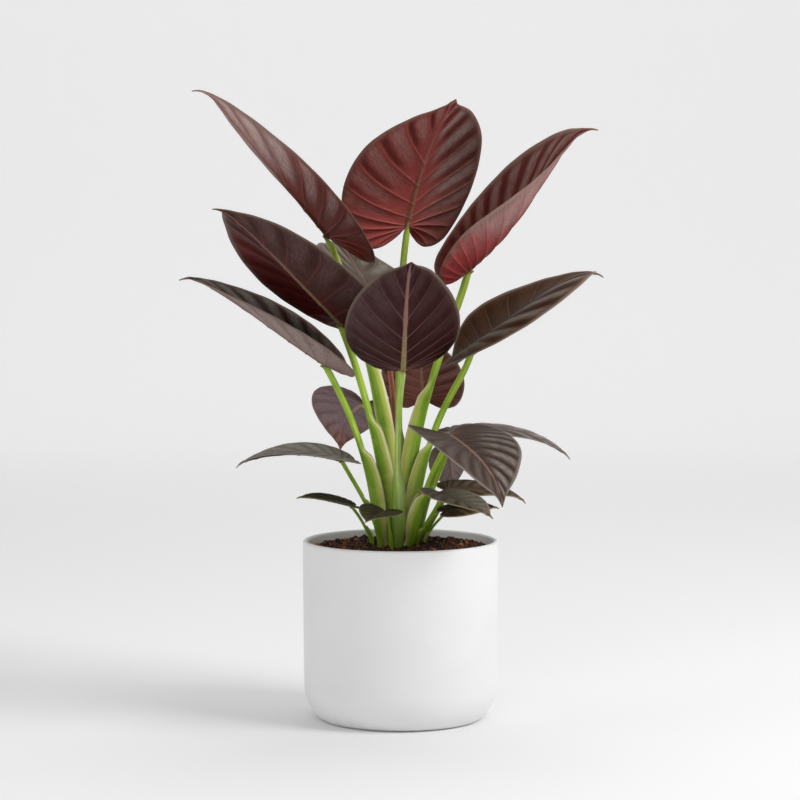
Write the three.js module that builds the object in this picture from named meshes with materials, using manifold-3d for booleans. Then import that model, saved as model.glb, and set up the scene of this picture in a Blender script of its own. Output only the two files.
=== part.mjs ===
// Potted red secret alocasia: nineteen leaves on sheathing stalks, rising from one crown
// in a plain white cylindrical pot. Millimetres, +Z up, the origin at the middle of the pot's foot.
// The front of the plant faces -Y.
import * as THREE from 'three';
import { mergeVertices } from 'three/addons/utils/BufferGeometryUtils.js';
import Module from 'manifold-3d';

// Clearance kept between pieces that touch
const GAP = 0.3;
// Unevenness left out of a cut piece's faces
const CUT_TOLERANCE = 0.03;
// Corners closer together than this are one corner
const MERGE_DISTANCE = 0.001;

// Pot
const POT_HEIGHT = 146;
const POT_RADIUS = 80;
const POT_FOOT_RADIUS = 63;
const POT_TAPER = 1.3;
const POT_WALL = 4.5;
const POT_FLOOR = 6;
const POT_SIDES = 44;
// Lower corner of the pot: an arc that draws the wall in below a height
const POT_CORNER_RADIUS = 38;
const POT_CORNER_HEIGHT = 29;
const POT_CORNER_TURN = 47;

// Potting soil
const SOIL_EDGE_LEVEL = 139;
const SOIL_CROWN_LEVEL = 142.5;
const SOIL_LUMP = 0.9;
// Waves of the lumps, in radians a millimetre along X and Y
const SOIL_BROAD_WAVE = [0.31, 0.27];
const SOIL_FINE_WAVE = [-0.4, 0.53];
const SOIL_FINE_SHARE = 0.6;
const SOIL_RINGS = [14, 28, 42, 55, 67];

// Rhizome in the soil, which the stalks stand on
const RHIZOME_TOP = 127;
const RHIZOME_LENGTH = 44;
const RHIZOME_RADIUS = 31;
const RHIZOME_PLACE = [-1, -8];
const RHIZOME_RINGS = 5;
// Reach of the rings from near the round foot to below the flat top, in half lengths
const RHIZOME_SPAN = [-0.92, 0.7];
const RHIZOME_KNOB = 0.05;
const RHIZOME_TOP_SHARE = 0.86;
const RHIZOME_SIDES = 16;

// Blades
const BLADE_THICKNESS = 0.8;
const RIB_HALF_WIDTH = 1.7;
const RIB_HEIGHT = 1.5;
const VEIN_RELIEF = 0.7;
const LOBE_REACH = 0.2;
const VEIN_ARCH = 1.4;
const VEIN_SPREAD = 1.3;

const MIDRIB_STEPS = 48;
const STATION_PITCH = 11;
const STATION_COUNTS = [8, 16];
// Blades longer than this have more lines across and full relief
const LARGE_BLADE = 120;
const LARGE_ACROSS = [0.36, 0.7, 1];
const SMALL_ACROSS = [0.5, 1];
const TIP_CURL_START = 0.8;
const NUDGE = 0.002;

// Stalks, whose lower part is a sheath open on one side
const SOIL_LINE = 142;
const STALK_ROOT = 2;
const STALK_PITCH = 24;
const STALK_STEPS = [5, 9];
const HOLE_RISE = 4;
// How far a stalk's end lies below the blade it runs along, in stalk radii
const STALK_INSET = 0.85;
// Widths of a sheath from the soil to its top, as shares of its widest radius
const SHEATH_WIDTHS = [0.52, 0.8, 0.97, 1, 0.97, 0.85, 0.66];
// Share of the sheath's height where it closes into the round stalk
const SHEATH_END = [0.9, 1.05];
const SHARPEST_CORNER = 0.5;
// Section of a sheath: angle from the side away from its opening, and reach in radii
const SHEATH_SECTION = [
  [-145, 1], [-95, 1], [-35, 1], [35, 1], [95, 1], [145, 1],
  [138, 0.74], [60, 0.6], [-60, 0.6], [-138, 0.74],
];

// Half of a flat blade's outline, from the notch round a lobe to the tip:
// along the midrib in blade lengths, across it in half widths
const OUTLINE = [
  [0, 0], [-0.085, 0.2], [-0.14, 0.47], [-0.1, 0.78], [0.06, 0.97],
  [0.27, 1], [0.52, 0.83], [0.76, 0.45], [0.9, 0.12], [1, 0],
];
// The outline's share that belongs to the lobe, whose veins start at the stalk
const LOBE_SHARE = 4 / 9;

// One record a leaf. seat is where the stalk meets the blade; heading and rise give the midrib's
// direction there, roll turns the blade about it. bend arches the whole midrib downward, tipBend
// its outer part, and tipCurl curls the very tip. sweep curves the midrib sideways and twist turns
// the blade about it. fold lifts each half, left then right, and cup curls it. foot, lean and
// reach route the stalk from the soil to the seat.
const LEAVES = [
  {
    // upper left, the longest
    seat: [-57, -35, 393], length: 185, halfWidth: 62,
    heading: 220, rise: 43, roll: 18, bend: 1, tipBend: 3,
    tipCurl: 50, sweep: 14, twist: -7, fold: [10, 16], cup: [2, -13],
    foot: [-8, 4], lean: [-11, -6, 225], reach: [-24, -19, 316],
    stalkRadius: 2.6, sheathTop: 298, sheathRadius: 7.4, sheathOpens: 0,
  },
  {
    // top, upright in the middle
    seat: [5, 9, 402], length: 145, halfWidth: 62,
    heading: -59, rise: 68, roll: 2, bend: 47, tipBend: 4,
    tipCurl: 0, sweep: -11, twist: 12, fold: [25, -14], cup: [-20, 39],
    foot: [-2, 3], lean: [1, 4, 227], reach: [-6, 7, 325],
    stalkRadius: 2.7, sheathTop: 236, sheathRadius: 5.6, sheathOpens: 80,
  },
  {
    // upper right, folded along its midrib
    seat: [53, -12, 366], length: 163, halfWidth: 77,
    heading: -4, rise: 38, roll: 5, bend: -45, tipBend: 67,
    tipCurl: 40, sweep: -26, twist: -6, fold: [12, -16], cup: [43, 57],
    foot: [6, -3], lean: [5, -5, 255], reach: [47, -8, 328],
    stalkRadius: 3.0, sheathTop: 274, sheathRadius: 7.4, sheathOpens: 180,
  },
  {
    // left, second from the top
    seat: [-46, -50, 323], length: 168, halfWidth: 70,
    heading: 222, rise: 38, roll: 2, bend: 2, tipBend: 12,
    tipCurl: 25, sweep: 9, twist: -9, fold: [11, 27], cup: [-20, -38],
    foot: [-9, -6], lean: [-14, -17, 206], reach: [-24, -32, 261],
    stalkRadius: 2.8, sheathTop: 248, sheathRadius: 6.9, sheathOpens: 0,
  },
  {
    // front, in the middle of the plant
    seat: [2, -75, 289], length: 153, halfWidth: 50,
    heading: -89, rise: 24, roll: -3, bend: -43, tipBend: 58,
    tipCurl: 0, sweep: 4, twist: -2, fold: [25, 21], cup: [3, 15],
    foot: [-2, -22], lean: [-2, -35, 189], reach: [-4, -54, 253],
    stalkRadius: 2.5, sheathTop: 207, sheathRadius: 5.6, sheathOpens: 75,
  },
  {
    // right, half way up
    seat: [56, -10, 300], length: 144, halfWidth: 77,
    heading: 3, rise: 38, roll: 21, bend: -14, tipBend: 41,
    tipCurl: 45, sweep: 43, twist: -20, fold: [11, -3], cup: [39, -35],
    foot: [9, -10], lean: [19, -10, 252], reach: [46, -10, 264],
    stalkRadius: 2.7, sheathTop: 224, sheathRadius: 7.0, sheathOpens: 180,
  },
  {
    // left, half way up, folded
    seat: [-59, -36, 291], length: 138, halfWidth: 53,
    heading: 189, rise: 33, roll: 2, bend: -7, tipBend: 20,
    tipCurl: 45, sweep: -10, twist: 6, fold: [1, 8], cup: [24, 27],
    foot: [-13, -16], lean: [-26, -21, 160], reach: [-13, -28, 204],
    stalkRadius: 2.6, sheathTop: 222, sheathRadius: 6.6, sheathOpens: 0,
  },
  {
    // back left, behind the upper leaves
    seat: [-25, 35, 343], length: 144, halfWidth: 52,
    heading: 95, rise: 18, roll: 0, bend: 8, tipBend: -59,
    tipCurl: 0, sweep: 15, twist: -12, fold: [25, 0], cup: [14, -7],
    foot: [-4, 13], lean: [-6, 18, 209], reach: [2, 26, 281],
    stalkRadius: 2.3, sheathTop: 205, sheathRadius: 4.6, sheathOpens: -60,
  },
  {
    // back, behind the middle
    seat: [19, 41, 259], length: 101, halfWidth: 35,
    heading: 94, rise: 40, roll: -1, bend: 21, tipBend: 0,
    tipCurl: 0, sweep: -6, twist: -4, fold: [13, 10], cup: [-4, -11],
    foot: [3, 16], lean: [6, 22, 181], reach: [10, 31, 221],
    stalkRadius: 2.2, sheathTop: 188, sheathRadius: 4.4, sheathOpens: -90,
  },
  {
    // back left, hanging
    seat: [-31, 39, 255], length: 100, halfWidth: 37,
    heading: 113, rise: -14, roll: -7, bend: 26, tipBend: 1,
    tipCurl: 0, sweep: -19, twist: -9, fold: [25, 10], cup: [-11, -7],
    foot: [-11, 12], lean: [-14, 17, 193], reach: [-20, 25, 250],
    stalkRadius: 2.0, sheathTop: 186, sheathRadius: 4.0, sheathOpens: -45,
  },
  {
    // left, low, arching
    seat: [-47, -20, 213], length: 89, halfWidth: 33,
    heading: 190, rise: 15, roll: 0, bend: 30, tipBend: 10,
    tipCurl: 25, sweep: -1, twist: -1, fold: [13, 3], cup: [-22, 21],
    foot: [-17, -20], lean: [-17, -20, 164], reach: [-34, -20, 188],
    stalkRadius: 1.7, sheathTop: 182, sheathRadius: 3.3, sheathOpens: 10,
  },
  {
    // left, lowest and small
    seat: [-39, -23, 176], length: 49, halfWidth: 18,
    heading: 207, rise: 17, roll: 8, bend: 10, tipBend: 9,
    tipCurl: 20, sweep: -7, twist: 0, fold: [10, 10], cup: [-11, -3],
    foot: [-23, -14], lean: [-25, -16, 153], reach: [-32, -19, 166],
    stalkRadius: 1.2, sheathTop: 160, sheathRadius: 2.2, sheathOpens: 20,
  },
  {
    // front, the smallest, at the crown
    seat: [-13, -43, 174], length: 47, halfWidth: 17,
    heading: -107, rise: -3, roll: 6, bend: 1, tipBend: 6,
    tipCurl: 10, sweep: -2, twist: -2, fold: [13, 12], cup: [-16, 8],
    foot: [-7, -33], lean: [-9, -36, 156], reach: [-9, -39, 171],
    stalkRadius: 1.2, sheathTop: 158, sheathRadius: 2.1, sheathOpens: 90,
  },
  {
    // right, low, broad, hanging forward
    seat: [40, -47, 235], length: 96, halfWidth: 44,
    heading: -62, rise: -13, roll: -2, bend: 22, tipBend: 54,
    tipCurl: 10, sweep: 4, twist: 1, fold: [15, 8], cup: [-22, 16],
    foot: [5, -18], lean: [17, -18, 153], reach: [6, -24, 169],
    stalkRadius: 2.4, sheathTop: 187, sheathRadius: 6.2, sheathOpens: 180,
  },
  {
    // right, low, arching outward
    seat: [40, 33, 232], length: 107, halfWidth: 44,
    heading: -10, rise: 13, roll: -1, bend: 49, tipBend: -1,
    tipCurl: 20, sweep: 4, twist: 5, fold: [10, 4], cup: [-22, -15],
    foot: [14, 7], lean: [20, 14, 172], reach: [30, 23, 202],
    stalkRadius: 2.0, sheathTop: 186, sheathRadius: 4.0, sheathOpens: 190,
  },
  {
    // back right, small, hanging
    seat: [39, 39, 219], length: 57, halfWidth: 19,
    heading: 84, rise: -41, roll: 28, bend: 11, tipBend: -9,
    tipCurl: 0, sweep: 3, twist: -8, fold: [3, 7], cup: [-22, -9],
    foot: [9, 12], lean: [17, 19, 167], reach: [32, 28, 192],
    stalkRadius: 1.6, sheathTop: 176, sheathRadius: 3.4, sheathOpens: -120,
  },
  {
    // right, small, upper of three
    seat: [38, -9, 187], length: 67, halfWidth: 25,
    heading: -3, rise: 4, roll: -11, bend: 18, tipBend: 23,
    tipCurl: 25, sweep: 8, twist: 4, fold: [11, 10], cup: [-14, -11],
    foot: [16, 1], lean: [22, -2, 156], reach: [32, -5, 170],
    stalkRadius: 1.5, sheathTop: 168, sheathRadius: 3.2, sheathOpens: 180,
  },
  {
    // right, small, front of three
    seat: [32, -42, 188], length: 63, halfWidth: 23,
    heading: -52, rise: -12, roll: 11, bend: -3, tipBend: 10,
    tipCurl: 15, sweep: 7, twist: -4, fold: [10, 10], cup: [13, -28],
    foot: [13, -9], lean: [13, -17, 155], reach: [33, -29, 176],
    stalkRadius: 1.5, sheathTop: 158, sheathRadius: 3.2, sheathOpens: 170,
  },
  {
    // right, small, lowest
    seat: [36, -28, 172], length: 46, halfWidth: 17,
    heading: 12, rise: 11, roll: -7, bend: 13, tipBend: 14,
    tipCurl: 15, sweep: 4, twist: -9, fold: [7, 7], cup: [-10, -22],
    foot: [19, -4], lean: [22, -10, 155], reach: [29, -18, 162],
    stalkRadius: 1.1, sheathTop: 154, sheathRadius: 1.7, sheathOpens: 200,
  },
];

const wasm = await Module();
wasm.setup();

const rad = THREE.MathUtils.degToRad;
const { clamp, lerp, smoothstep } = THREE.MathUtils;
const vec = (values) => new THREE.Vector3(...values);

// Geometry from a list of points and a list of triangles
function toGeometry(points, faces) {
  const geometry = new THREE.BufferGeometry();
  const numbers = points.flatMap((p) => [p.x, p.y, p.z]);
  geometry.setAttribute('position', new THREE.Float32BufferAttribute(numbers, 3));
  geometry.setIndex(faces.flat());
  return geometry;
}

// Geometry with its shared corners merged and its empty triangles dropped
function merged(geometry) {
  const bare = geometry.clone();
  bare.deleteAttribute('normal');
  bare.deleteAttribute('uv');
  const joined = mergeVertices(bare, MERGE_DISTANCE);
  const corners = [...joined.index.array];
  const kept = [];
  for (let i = 0; i < corners.length; i += 3) {
    const [a, b, c] = corners.slice(i, i + 3);
    if (a !== b && b !== c && a !== c) kept.push(a, b, c);
  }
  joined.setIndex(kept);
  return joined;
}

// Solid for cutting, from a closed geometry
function toSolid(geometry) {
  const joined = merged(geometry);
  return new wasm.Manifold(new wasm.Mesh({
    numProp: 3,
    vertProperties: new Float32Array(joined.attributes.position.array),
    triVerts: new Uint32Array(joined.index.array),
  }));
}

// Geometry of a solid's largest body
function fromSolid(solid) {
  const bodies = solid.decompose();
  const largest = bodies.reduce((a, b) => (a.volume() > b.volume() ? a : b));
  const mesh = largest.asOriginal().simplify(CUT_TOLERANCE).getMesh();
  const geometry = new THREE.BufferGeometry();
  geometry.setAttribute('position', new THREE.BufferAttribute(new Float32Array(mesh.vertProperties), 3));
  geometry.setIndex(new THREE.BufferAttribute(new Uint32Array(mesh.triVerts), 1));
  return geometry;
}

// Quarter circle as points, from one angle to another in degrees
function arc(x, z, radius, from, to, steps) {
  const points = [];
  for (let i = 0; i <= steps; i += 1) {
    const angle = rad(lerp(from, to, i / steps));
    points.push(new THREE.Vector2(x + radius * Math.cos(angle), z + radius * Math.sin(angle)));
  }
  return points;
}

// Solid of revolution about +Z, from a profile of radius and height
function revolved(profile, sides) {
  return merged(new THREE.LatheGeometry(profile, sides).rotateX(Math.PI / 2));
}

// Radius of the pot's outside at a height
const potRadiusAt = (z) => POT_RADIUS - POT_TAPER * (1 - z / POT_HEIGHT);
const innerRadiusAt = (z) => potRadiusAt(z) - POT_WALL;
const CORNER_CENTRE = potRadiusAt(POT_CORNER_HEIGHT) - POT_CORNER_RADIUS;

// Angle below level at which an arc about the corner's centre meets a height, in degrees
const cornerTurn = (z, radius) => THREE.MathUtils.radToDeg(Math.asin((POT_CORNER_HEIGHT - z) / radius));

function potGeometry() {
  const inner = POT_CORNER_RADIUS - POT_WALL;
  const lip = POT_WALL / 2;
  return revolved([
    new THREE.Vector2(0, 0),
    new THREE.Vector2(POT_FOOT_RADIUS, 0),
    ...arc(CORNER_CENTRE, POT_CORNER_HEIGHT, POT_CORNER_RADIUS, -POT_CORNER_TURN, 0, 4),
    ...arc(POT_RADIUS - lip, POT_HEIGHT - lip, lip, 0, 180, 4),
    ...arc(CORNER_CENTRE, POT_CORNER_HEIGHT, inner, 0, -cornerTurn(POT_FLOOR, inner), 3),
    new THREE.Vector2(0, POT_FLOOR),
  ], POT_SIDES);
}

// Height of the soil's lumps at a place
function soilLump(x, y) {
  const broad = Math.sin(SOIL_BROAD_WAVE[0] * x + 1) * Math.cos(SOIL_BROAD_WAVE[1] * y);
  const fine = Math.sin(SOIL_FINE_WAVE[0] * x + SOIL_FINE_WAVE[1] * y);
  return SOIL_LUMP * (broad + SOIL_FINE_SHARE * fine);
}

function soilGeometry() {
  const floor = POT_FLOOR + GAP;
  const corner = POT_CORNER_RADIUS - POT_WALL - GAP;
  const edge = innerRadiusAt(SOIL_EDGE_LEVEL) - GAP;
  const top = SOIL_RINGS.map((radius) => new THREE.Vector2(
    radius,
    lerp(SOIL_CROWN_LEVEL, SOIL_EDGE_LEVEL, (radius / edge) ** 2),
  )).reverse();
  const geometry = revolved([
    new THREE.Vector2(0, floor),
    ...arc(CORNER_CENTRE, POT_CORNER_HEIGHT, corner, -cornerTurn(floor, corner), 0, 3),
    new THREE.Vector2(edge, SOIL_EDGE_LEVEL),
    ...top,
    new THREE.Vector2(0, SOIL_CROWN_LEVEL),
  ], POT_SIDES);
  const position = geometry.attributes.position;
  for (let i = 0; i < position.count; i += 1) {
    const [x, y, z] = [position.getX(i), position.getY(i), position.getZ(i)];
    if (z > SOIL_EDGE_LEVEL) position.setZ(i, z + soilLump(x, y));
  }
  return geometry;
}

// Knobbly upright rhizome with a flat top, grown by a clearance where it is used to cut
function rhizomeGeometry(grow) {
  const half = RHIZOME_LENGTH / 2;
  const middle = RHIZOME_TOP - half;
  const profile = [new THREE.Vector2(0, middle - half - grow)];
  for (let i = 0; i <= RHIZOME_RINGS; i += 1) {
    const share = lerp(...RHIZOME_SPAN, i / RHIZOME_RINGS);
    const knob = 1 + RHIZOME_KNOB * (i % 2);
    const ringRadius = RHIZOME_RADIUS * Math.sqrt(1 - share * share) * knob;
    profile.push(new THREE.Vector2(ringRadius + grow, middle + share * half));
  }
  profile.push(new THREE.Vector2(RHIZOME_RADIUS * RHIZOME_TOP_SHARE + grow, RHIZOME_TOP + grow));
  profile.push(new THREE.Vector2(0, RHIZOME_TOP + grow));
  return revolved(profile, RHIZOME_SIDES).translate(...RHIZOME_PLACE, 0);
}

// Point at t from 0 to 1 of a smooth curve through points
function through(points, t) {
  const spans = points.length - 1;
  const i = Math.min(Math.floor(t * spans), spans - 1);
  const f = t * spans - i;
  const first = points[0].map((value, axis) => 2 * value - points[1][axis]);
  const last = points[spans].map((value, axis) => 2 * value - points[spans - 1][axis]);
  const [a, b, c, d] = [points[i - 1] || first, points[i], points[i + 1], points[i + 2] || last];
  return b.map((_, axis) => 0.5 * (
    2 * b[axis] + (c[axis] - a[axis]) * f
    + (2 * a[axis] - 5 * b[axis] + 4 * c[axis] - d[axis]) * f * f
    + (3 * b[axis] - a[axis] - 3 * c[axis] + d[axis]) * f ** 3
  ));
}

// Frames of a leaf's midrib at even steps, from behind the lobes to the tip
function midribFrames(leaf) {
  const [heading, rise, roll] = [rad(leaf.heading), rad(leaf.rise), rad(leaf.roll)];
  const level = new THREE.Vector3(Math.cos(heading), Math.sin(heading), 0);
  const up = new THREE.Vector3(0, 0, 1);
  const mix = (a, b, angle) => (
    a.clone().multiplyScalar(Math.cos(angle)).addScaledVector(b, Math.sin(angle))
  );
  const ahead = mix(level, up, rise);
  const upright = mix(up, level.clone().negate(), rise);
  const left = upright.clone().cross(ahead);
  const normal = mix(upright, left, roll);
  const side = mix(left, upright.clone().negate(), roll);

  const frameAt = (t) => {
    const curl = Math.max(0, (t - TIP_CURL_START) / (1 - TIP_CURL_START)) ** 2;
    const pitch = -rad(leaf.bend) * t - rad(leaf.tipBend) * Math.max(t, 0) ** 4 - rad(leaf.tipCurl) * curl;
    const direction = mix(mix(ahead, normal, pitch), side, rad(leaf.sweep) * t);
    const flat = mix(normal, ahead.clone().negate(), pitch);
    const across = flat.clone().cross(direction);
    const twist = rad(leaf.twist) * t;
    return { direction, normal: mix(flat, across, twist), side: mix(across, flat.clone().negate(), twist) };
  };

  const step = (1 + LOBE_REACH) / MIDRIB_STEPS;
  const frames = [];
  const point = new THREE.Vector3();
  for (let k = 0; k <= MIDRIB_STEPS; k += 1) {
    const t = k * step - LOBE_REACH;
    frames.push({ t, point: point.clone(), ...frameAt(t) });
    point.addScaledVector(frameAt(t + step / 2).direction, step * leaf.length);
  }
  const shift = vec(leaf.seat).sub(readFrames(frames, 0).point);
  frames.forEach((frame) => frame.point.add(shift));
  return frames;
}

// Frame at x blade lengths from the seat
function readFrames(frames, x) {
  const last = frames.length - 1;
  const k = clamp((x - frames[0].t) / (frames[1].t - frames[0].t), 0, last);
  const i = Math.min(Math.floor(k), last - 1);
  const between = (key) => frames[i][key].clone().lerp(frames[i + 1][key], k - i);
  return { point: between('point'), normal: between('normal'), side: between('side') };
}

// Point of the blade's middle surface: x along it in lengths, y across it in half widths,
// left positive, and lifted off it toward the upper side
function bladePoint(leaf, frames, x, y, lift) {
  const { point, normal, side } = readFrames(frames, x);
  const half = y < 0 ? 1 : 0;
  const distance = Math.abs(y) * leaf.halfWidth;
  const fold = rad(leaf.fold[half]);
  const curl = rad(leaf.cup[half] || 0.01) / leaf.halfWidth;
  const out = (Math.sin(fold + curl * distance) - Math.sin(fold)) / curl;
  const raised = (Math.cos(fold) - Math.cos(fold + curl * distance)) / curl;
  return point.addScaledVector(side, Math.sign(y) * out).addScaledVector(normal, raised + lift);
}

// Where along the midrib the vein starts that ends at share u of the outline
const veinStart = (u) => Math.max(0, (u - LOBE_SHARE) / (1 - LOBE_SHARE)) ** VEIN_SPREAD;

// Blade as one closed sheet, split into the same triangles on both faces, with the midrib raised
// below. Its lines follow the side veins: those of the lobes fan out from the seat.
function bladeGeometry(leaf, thickness) {
  const frames = midribFrames(leaf);
  const stations = clamp(Math.round(leaf.length / STATION_PITCH), ...STATION_COUNTS);
  const ribShare = RIB_HALF_WIDTH / leaf.halfWidth;
  const across = [ribShare, ...(leaf.length > LARGE_BLADE ? LARGE_ACROSS : SMALL_ACROSS)];
  const relief = VEIN_RELIEF * Math.min(1, leaf.length / LARGE_BLADE);
  const points = [];
  const addPair = (centre, normal, below) => {
    points.push(centre.clone().addScaledVector(normal, thickness / 2));
    points.push(centre.clone().addScaledVector(normal, -thickness / 2 - below));
    return points.length - 2;
  };

  const spine = [];
  for (let i = 0; i <= stations; i += 1) {
    const start = veinStart(i / stations);
    if (i > 0 && start === 0) {
      spine.push(spine[0]);
    } else {
      const { point, normal } = readFrames(frames, start);
      spine.push(addPair(point, normal.normalize(), RIB_HEIGHT * (1 - start)));
    }
  }

  const rowAt = (i, hand) => {
    if (i === 0 || i === stations) return across.map(() => spine[i]);
    const u = i / stations;
    const [marginX, marginY] = through(OUTLINE, u);
    const start = veinStart(u);
    return across.map((v) => {
      const x = start + (marginX - start) * v ** VEIN_ARCH;
      const y = hand * marginY * v;
      const at = (dx, dy) => bladePoint(leaf, frames, x + dx, y + dy, 0);
      const along = at(NUDGE, 0).sub(at(-NUDGE, 0));
      const over = at(0, NUDGE).sub(at(0, -NUDGE));
      const wave = v > ribShare ? relief * (i % 2 ? 1 : -1) * Math.sin(Math.PI * v) : 0;
      return addPair(bladePoint(leaf, frames, x, y, wave), along.cross(over).normalize(), 0);
    });
  };

  const faces = [];
  const addFace = (a, b, c, hand) => {
    if (a === b || b === c || a === c) return;
    const [p, q, r] = hand > 0 ? [a, b, c] : [a, c, b];
    faces.push([p, q, r], [p + 1, r + 1, q + 1]);
  };
  for (const hand of [1, -1]) {
    let row = [spine[0], ...rowAt(0, hand)];
    for (let i = 1; i <= stations; i += 1) {
      const next = [spine[i], ...rowAt(i, hand)];
      for (let j = 0; j < across.length; j += 1) {
        addFace(row[j], next[j], next[j + 1], hand);
        addFace(row[j], next[j + 1], row[j + 1], hand);
      }
      const [p, q] = hand > 0 ? [row.at(-1), next.at(-1)] : [next.at(-1), row.at(-1)];
      faces.push([p, q, q + 1], [p, q + 1, p + 1]);
      row = next;
    }
  }
  return toGeometry(points, faces);
}

// Stalk section at share h of the sheath's height: round above the sheath, and in it a trough open
// on one side. Its points run round it as [away from the opening, sideways].
function stalkSection(leaf, h, grow) {
  const sheathed = 1 - smoothstep(h, ...SHEATH_END);
  const [widthShare] = through(SHEATH_WIDTHS.map((width) => [width]), clamp(h, 0, 1));
  const widest = Math.max(leaf.sheathRadius * widthShare, leaf.stalkRadius);
  const radius = lerp(leaf.stalkRadius, widest, sheathed);
  const ring = SHEATH_SECTION.map(([angle, reach], k) => {
    const even = rad(-90 + (360 / SHEATH_SECTION.length) * k);
    return new THREE.Vector2(
      radius * lerp(Math.cos(even), Math.cos(rad(angle)) * reach, sheathed) - radius + leaf.stalkRadius,
      radius * lerp(Math.sin(even), Math.sin(rad(angle)) * reach, sheathed),
    );
  });
  const outward = (from, to) => new THREE.Vector2(to.y - from.y, from.x - to.x).normalize();
  return ring.map((point, k) => {
    const before = outward(ring.at(k - 1), point);
    const after = outward(point, ring[(k + 1) % ring.length]);
    const reach = grow / Math.max(1 + before.dot(after), SHARPEST_CORNER);
    return before.add(after).multiplyScalar(reach).add(point);
  });
}

// Route of a stalk above the soil, from its foot to just under the blade
function stalkRoute(leaf) {
  const foot = vec([...leaf.foot, SOIL_LINE]);
  const below = readFrames(midribFrames(leaf), 0).normal.normalize().negate();
  const arrival = vec(leaf.seat).sub(vec(leaf.reach)).normalize();
  const inset = STALK_INSET * leaf.stalkRadius * arrival.cross(below).length();
  const end = vec(leaf.seat).addScaledVector(below, BLADE_THICKNESS / 2 + GAP + inset);
  return new THREE.CubicBezierCurve3(foot, vec(leaf.lean), vec(leaf.reach), end);
}

// Corners of a stalk's section at a point of its route
function sectionCorners(leaf, point, along, grow) {
  const opens = vec([Math.cos(rad(leaf.sheathOpens)), Math.sin(rad(leaf.sheathOpens)), 0]);
  const away = opens.addScaledVector(along, -opens.dot(along)).normalize().negate();
  const sideways = along.clone().cross(away);
  const h = (point.z - SOIL_LINE) / (leaf.sheathTop - SOIL_LINE);
  return stalkSection(leaf, h, grow).map(({ x, y }) => (
    point.clone().addScaledVector(away, x).addScaledVector(sideways, y)
  ));
}

// Plain hole round a stalk's foot, from the soil's face down to the rhizome
function holeSolid(leaf) {
  const route = stalkRoute(leaf);
  const foot = route.getPoint(0);
  const lean = route.getTangent(0);
  const ends = [RHIZOME_TOP - STALK_ROOT, SOIL_LINE + HOLE_RISE].map((z) => (
    foot.clone().addScaledVector(lean, (z - SOIL_LINE) / lean.z)
  ));
  const corners = ends.flatMap((point) => sectionCorners(leaf, point, lean, 2 * GAP));
  return wasm.Manifold.hull(corners.map((p) => [p.x, p.y, p.z]));
}

// Stalk swept from the rhizome up to the blade, grown by a clearance where it is used to cut
function stalkGeometry(leaf, grow) {
  const route = stalkRoute(leaf);
  const lean = route.getTangent(0);
  const buried = (SOIL_LINE - RHIZOME_TOP + STALK_ROOT) / lean.z;
  const steps = clamp(Math.round(route.getLength() / STALK_PITCH), STALK_STEPS[0], STALK_STEPS[1]);
  const points = sectionCorners(leaf, route.getPoint(0).addScaledVector(lean, -buried - grow), lean, grow);
  for (let k = 0; k <= steps; k += 1) {
    const t = k / steps;
    points.push(...sectionCorners(leaf, route.getPoint(t), route.getTangent(t), grow));
  }
  const faces = [];
  const count = SHEATH_SECTION.length;
  const top = points.length - count;
  for (let k = 0; k < top; k += count) {
    for (let i = 0; i < count; i += 1) {
      const [a, b] = [k + i, k + ((i + 1) % count)];
      faces.push([a, b, b + count], [a, b + count, a + count]);
    }
  }
  for (const [a, b, c] of THREE.ShapeUtils.triangulateShape(stalkSection(leaf, 0, 0), [])) {
    faces.push([a, c, b]);
  }
  for (const [a, b, c] of THREE.ShapeUtils.triangulateShape(stalkSection(leaf, SHEATH_END[1], 0), [])) {
    faces.push([a + top, b + top, c + top]);
  }
  return toGeometry(points, faces);
}

const FINISHES = {
  glaze: new THREE.MeshStandardMaterial({ color: 0xf1f1ef, roughness: 0.55, metalness: 0 }),
  soil: new THREE.MeshStandardMaterial({ color: 0x3a211a, roughness: 0.95, metalness: 0 }),
  rhizome: new THREE.MeshStandardMaterial({ color: 0x6b4a30, roughness: 0.9, metalness: 0 }),
  blade: new THREE.MeshStandardMaterial({ color: 0x55403e, roughness: 0.45, metalness: 0 }),
  stalk: new THREE.MeshStandardMaterial({ color: 0x7fae3a, roughness: 0.45, metalness: 0 }),
};

const plant = new THREE.Group();

function addPiece(name, geometry, finish) {
  const mesh = new THREE.Mesh(geometry, finish);
  mesh.name = name;
  plant.add(mesh);
}

addPiece('pot', potGeometry(), FINISHES.glaze);
addPiece('rhizome', rhizomeGeometry(0), FINISHES.rhizome);

// From the front of the crown to its back, each stalk is cut clear of those before it, of its own
// blade and of the rhizome, and the soil is cut clear of them all
const rhizomeSpace = toSolid(rhizomeGeometry(GAP));
let soil = toSolid(soilGeometry()).subtract(rhizomeSpace);
const takenSpaces = [];
const leaves = LEAVES.map((leaf, index) => ({ leaf, number: String(index + 1).padStart(2, '0') }));
leaves.sort((a, b) => a.leaf.foot[1] - b.leaf.foot[1]);
for (const { leaf, number } of leaves) {
  const space = toSolid(stalkGeometry(leaf, GAP));
  let stalk = toSolid(stalkGeometry(leaf, 0)).subtract(rhizomeSpace);
  for (const taken of takenSpaces) stalk = stalk.subtract(taken);
  const bladeSpace = toSolid(bladeGeometry(leaf, BLADE_THICKNESS + 2 * GAP));
  const seat = midribFrames(leaf)[0];
  const back = seat.point.sub(vec(leaf.seat)).setLength(GAP);
  for (const shift of [new THREE.Vector3(), back, seat.normal.setLength(-GAP).add(back)]) {
    stalk = stalk.subtract(bladeSpace.translate(shift.toArray()));
  }
  takenSpaces.push(space);
  soil = soil.subtract(holeSolid(leaf));
  addPiece(`leaf_${number}_stalk`, fromSolid(stalk), FINISHES.stalk);
  addPiece(`leaf_${number}_blade`, bladeGeometry(leaf, BLADE_THICKNESS), FINISHES.blade);
}
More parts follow.
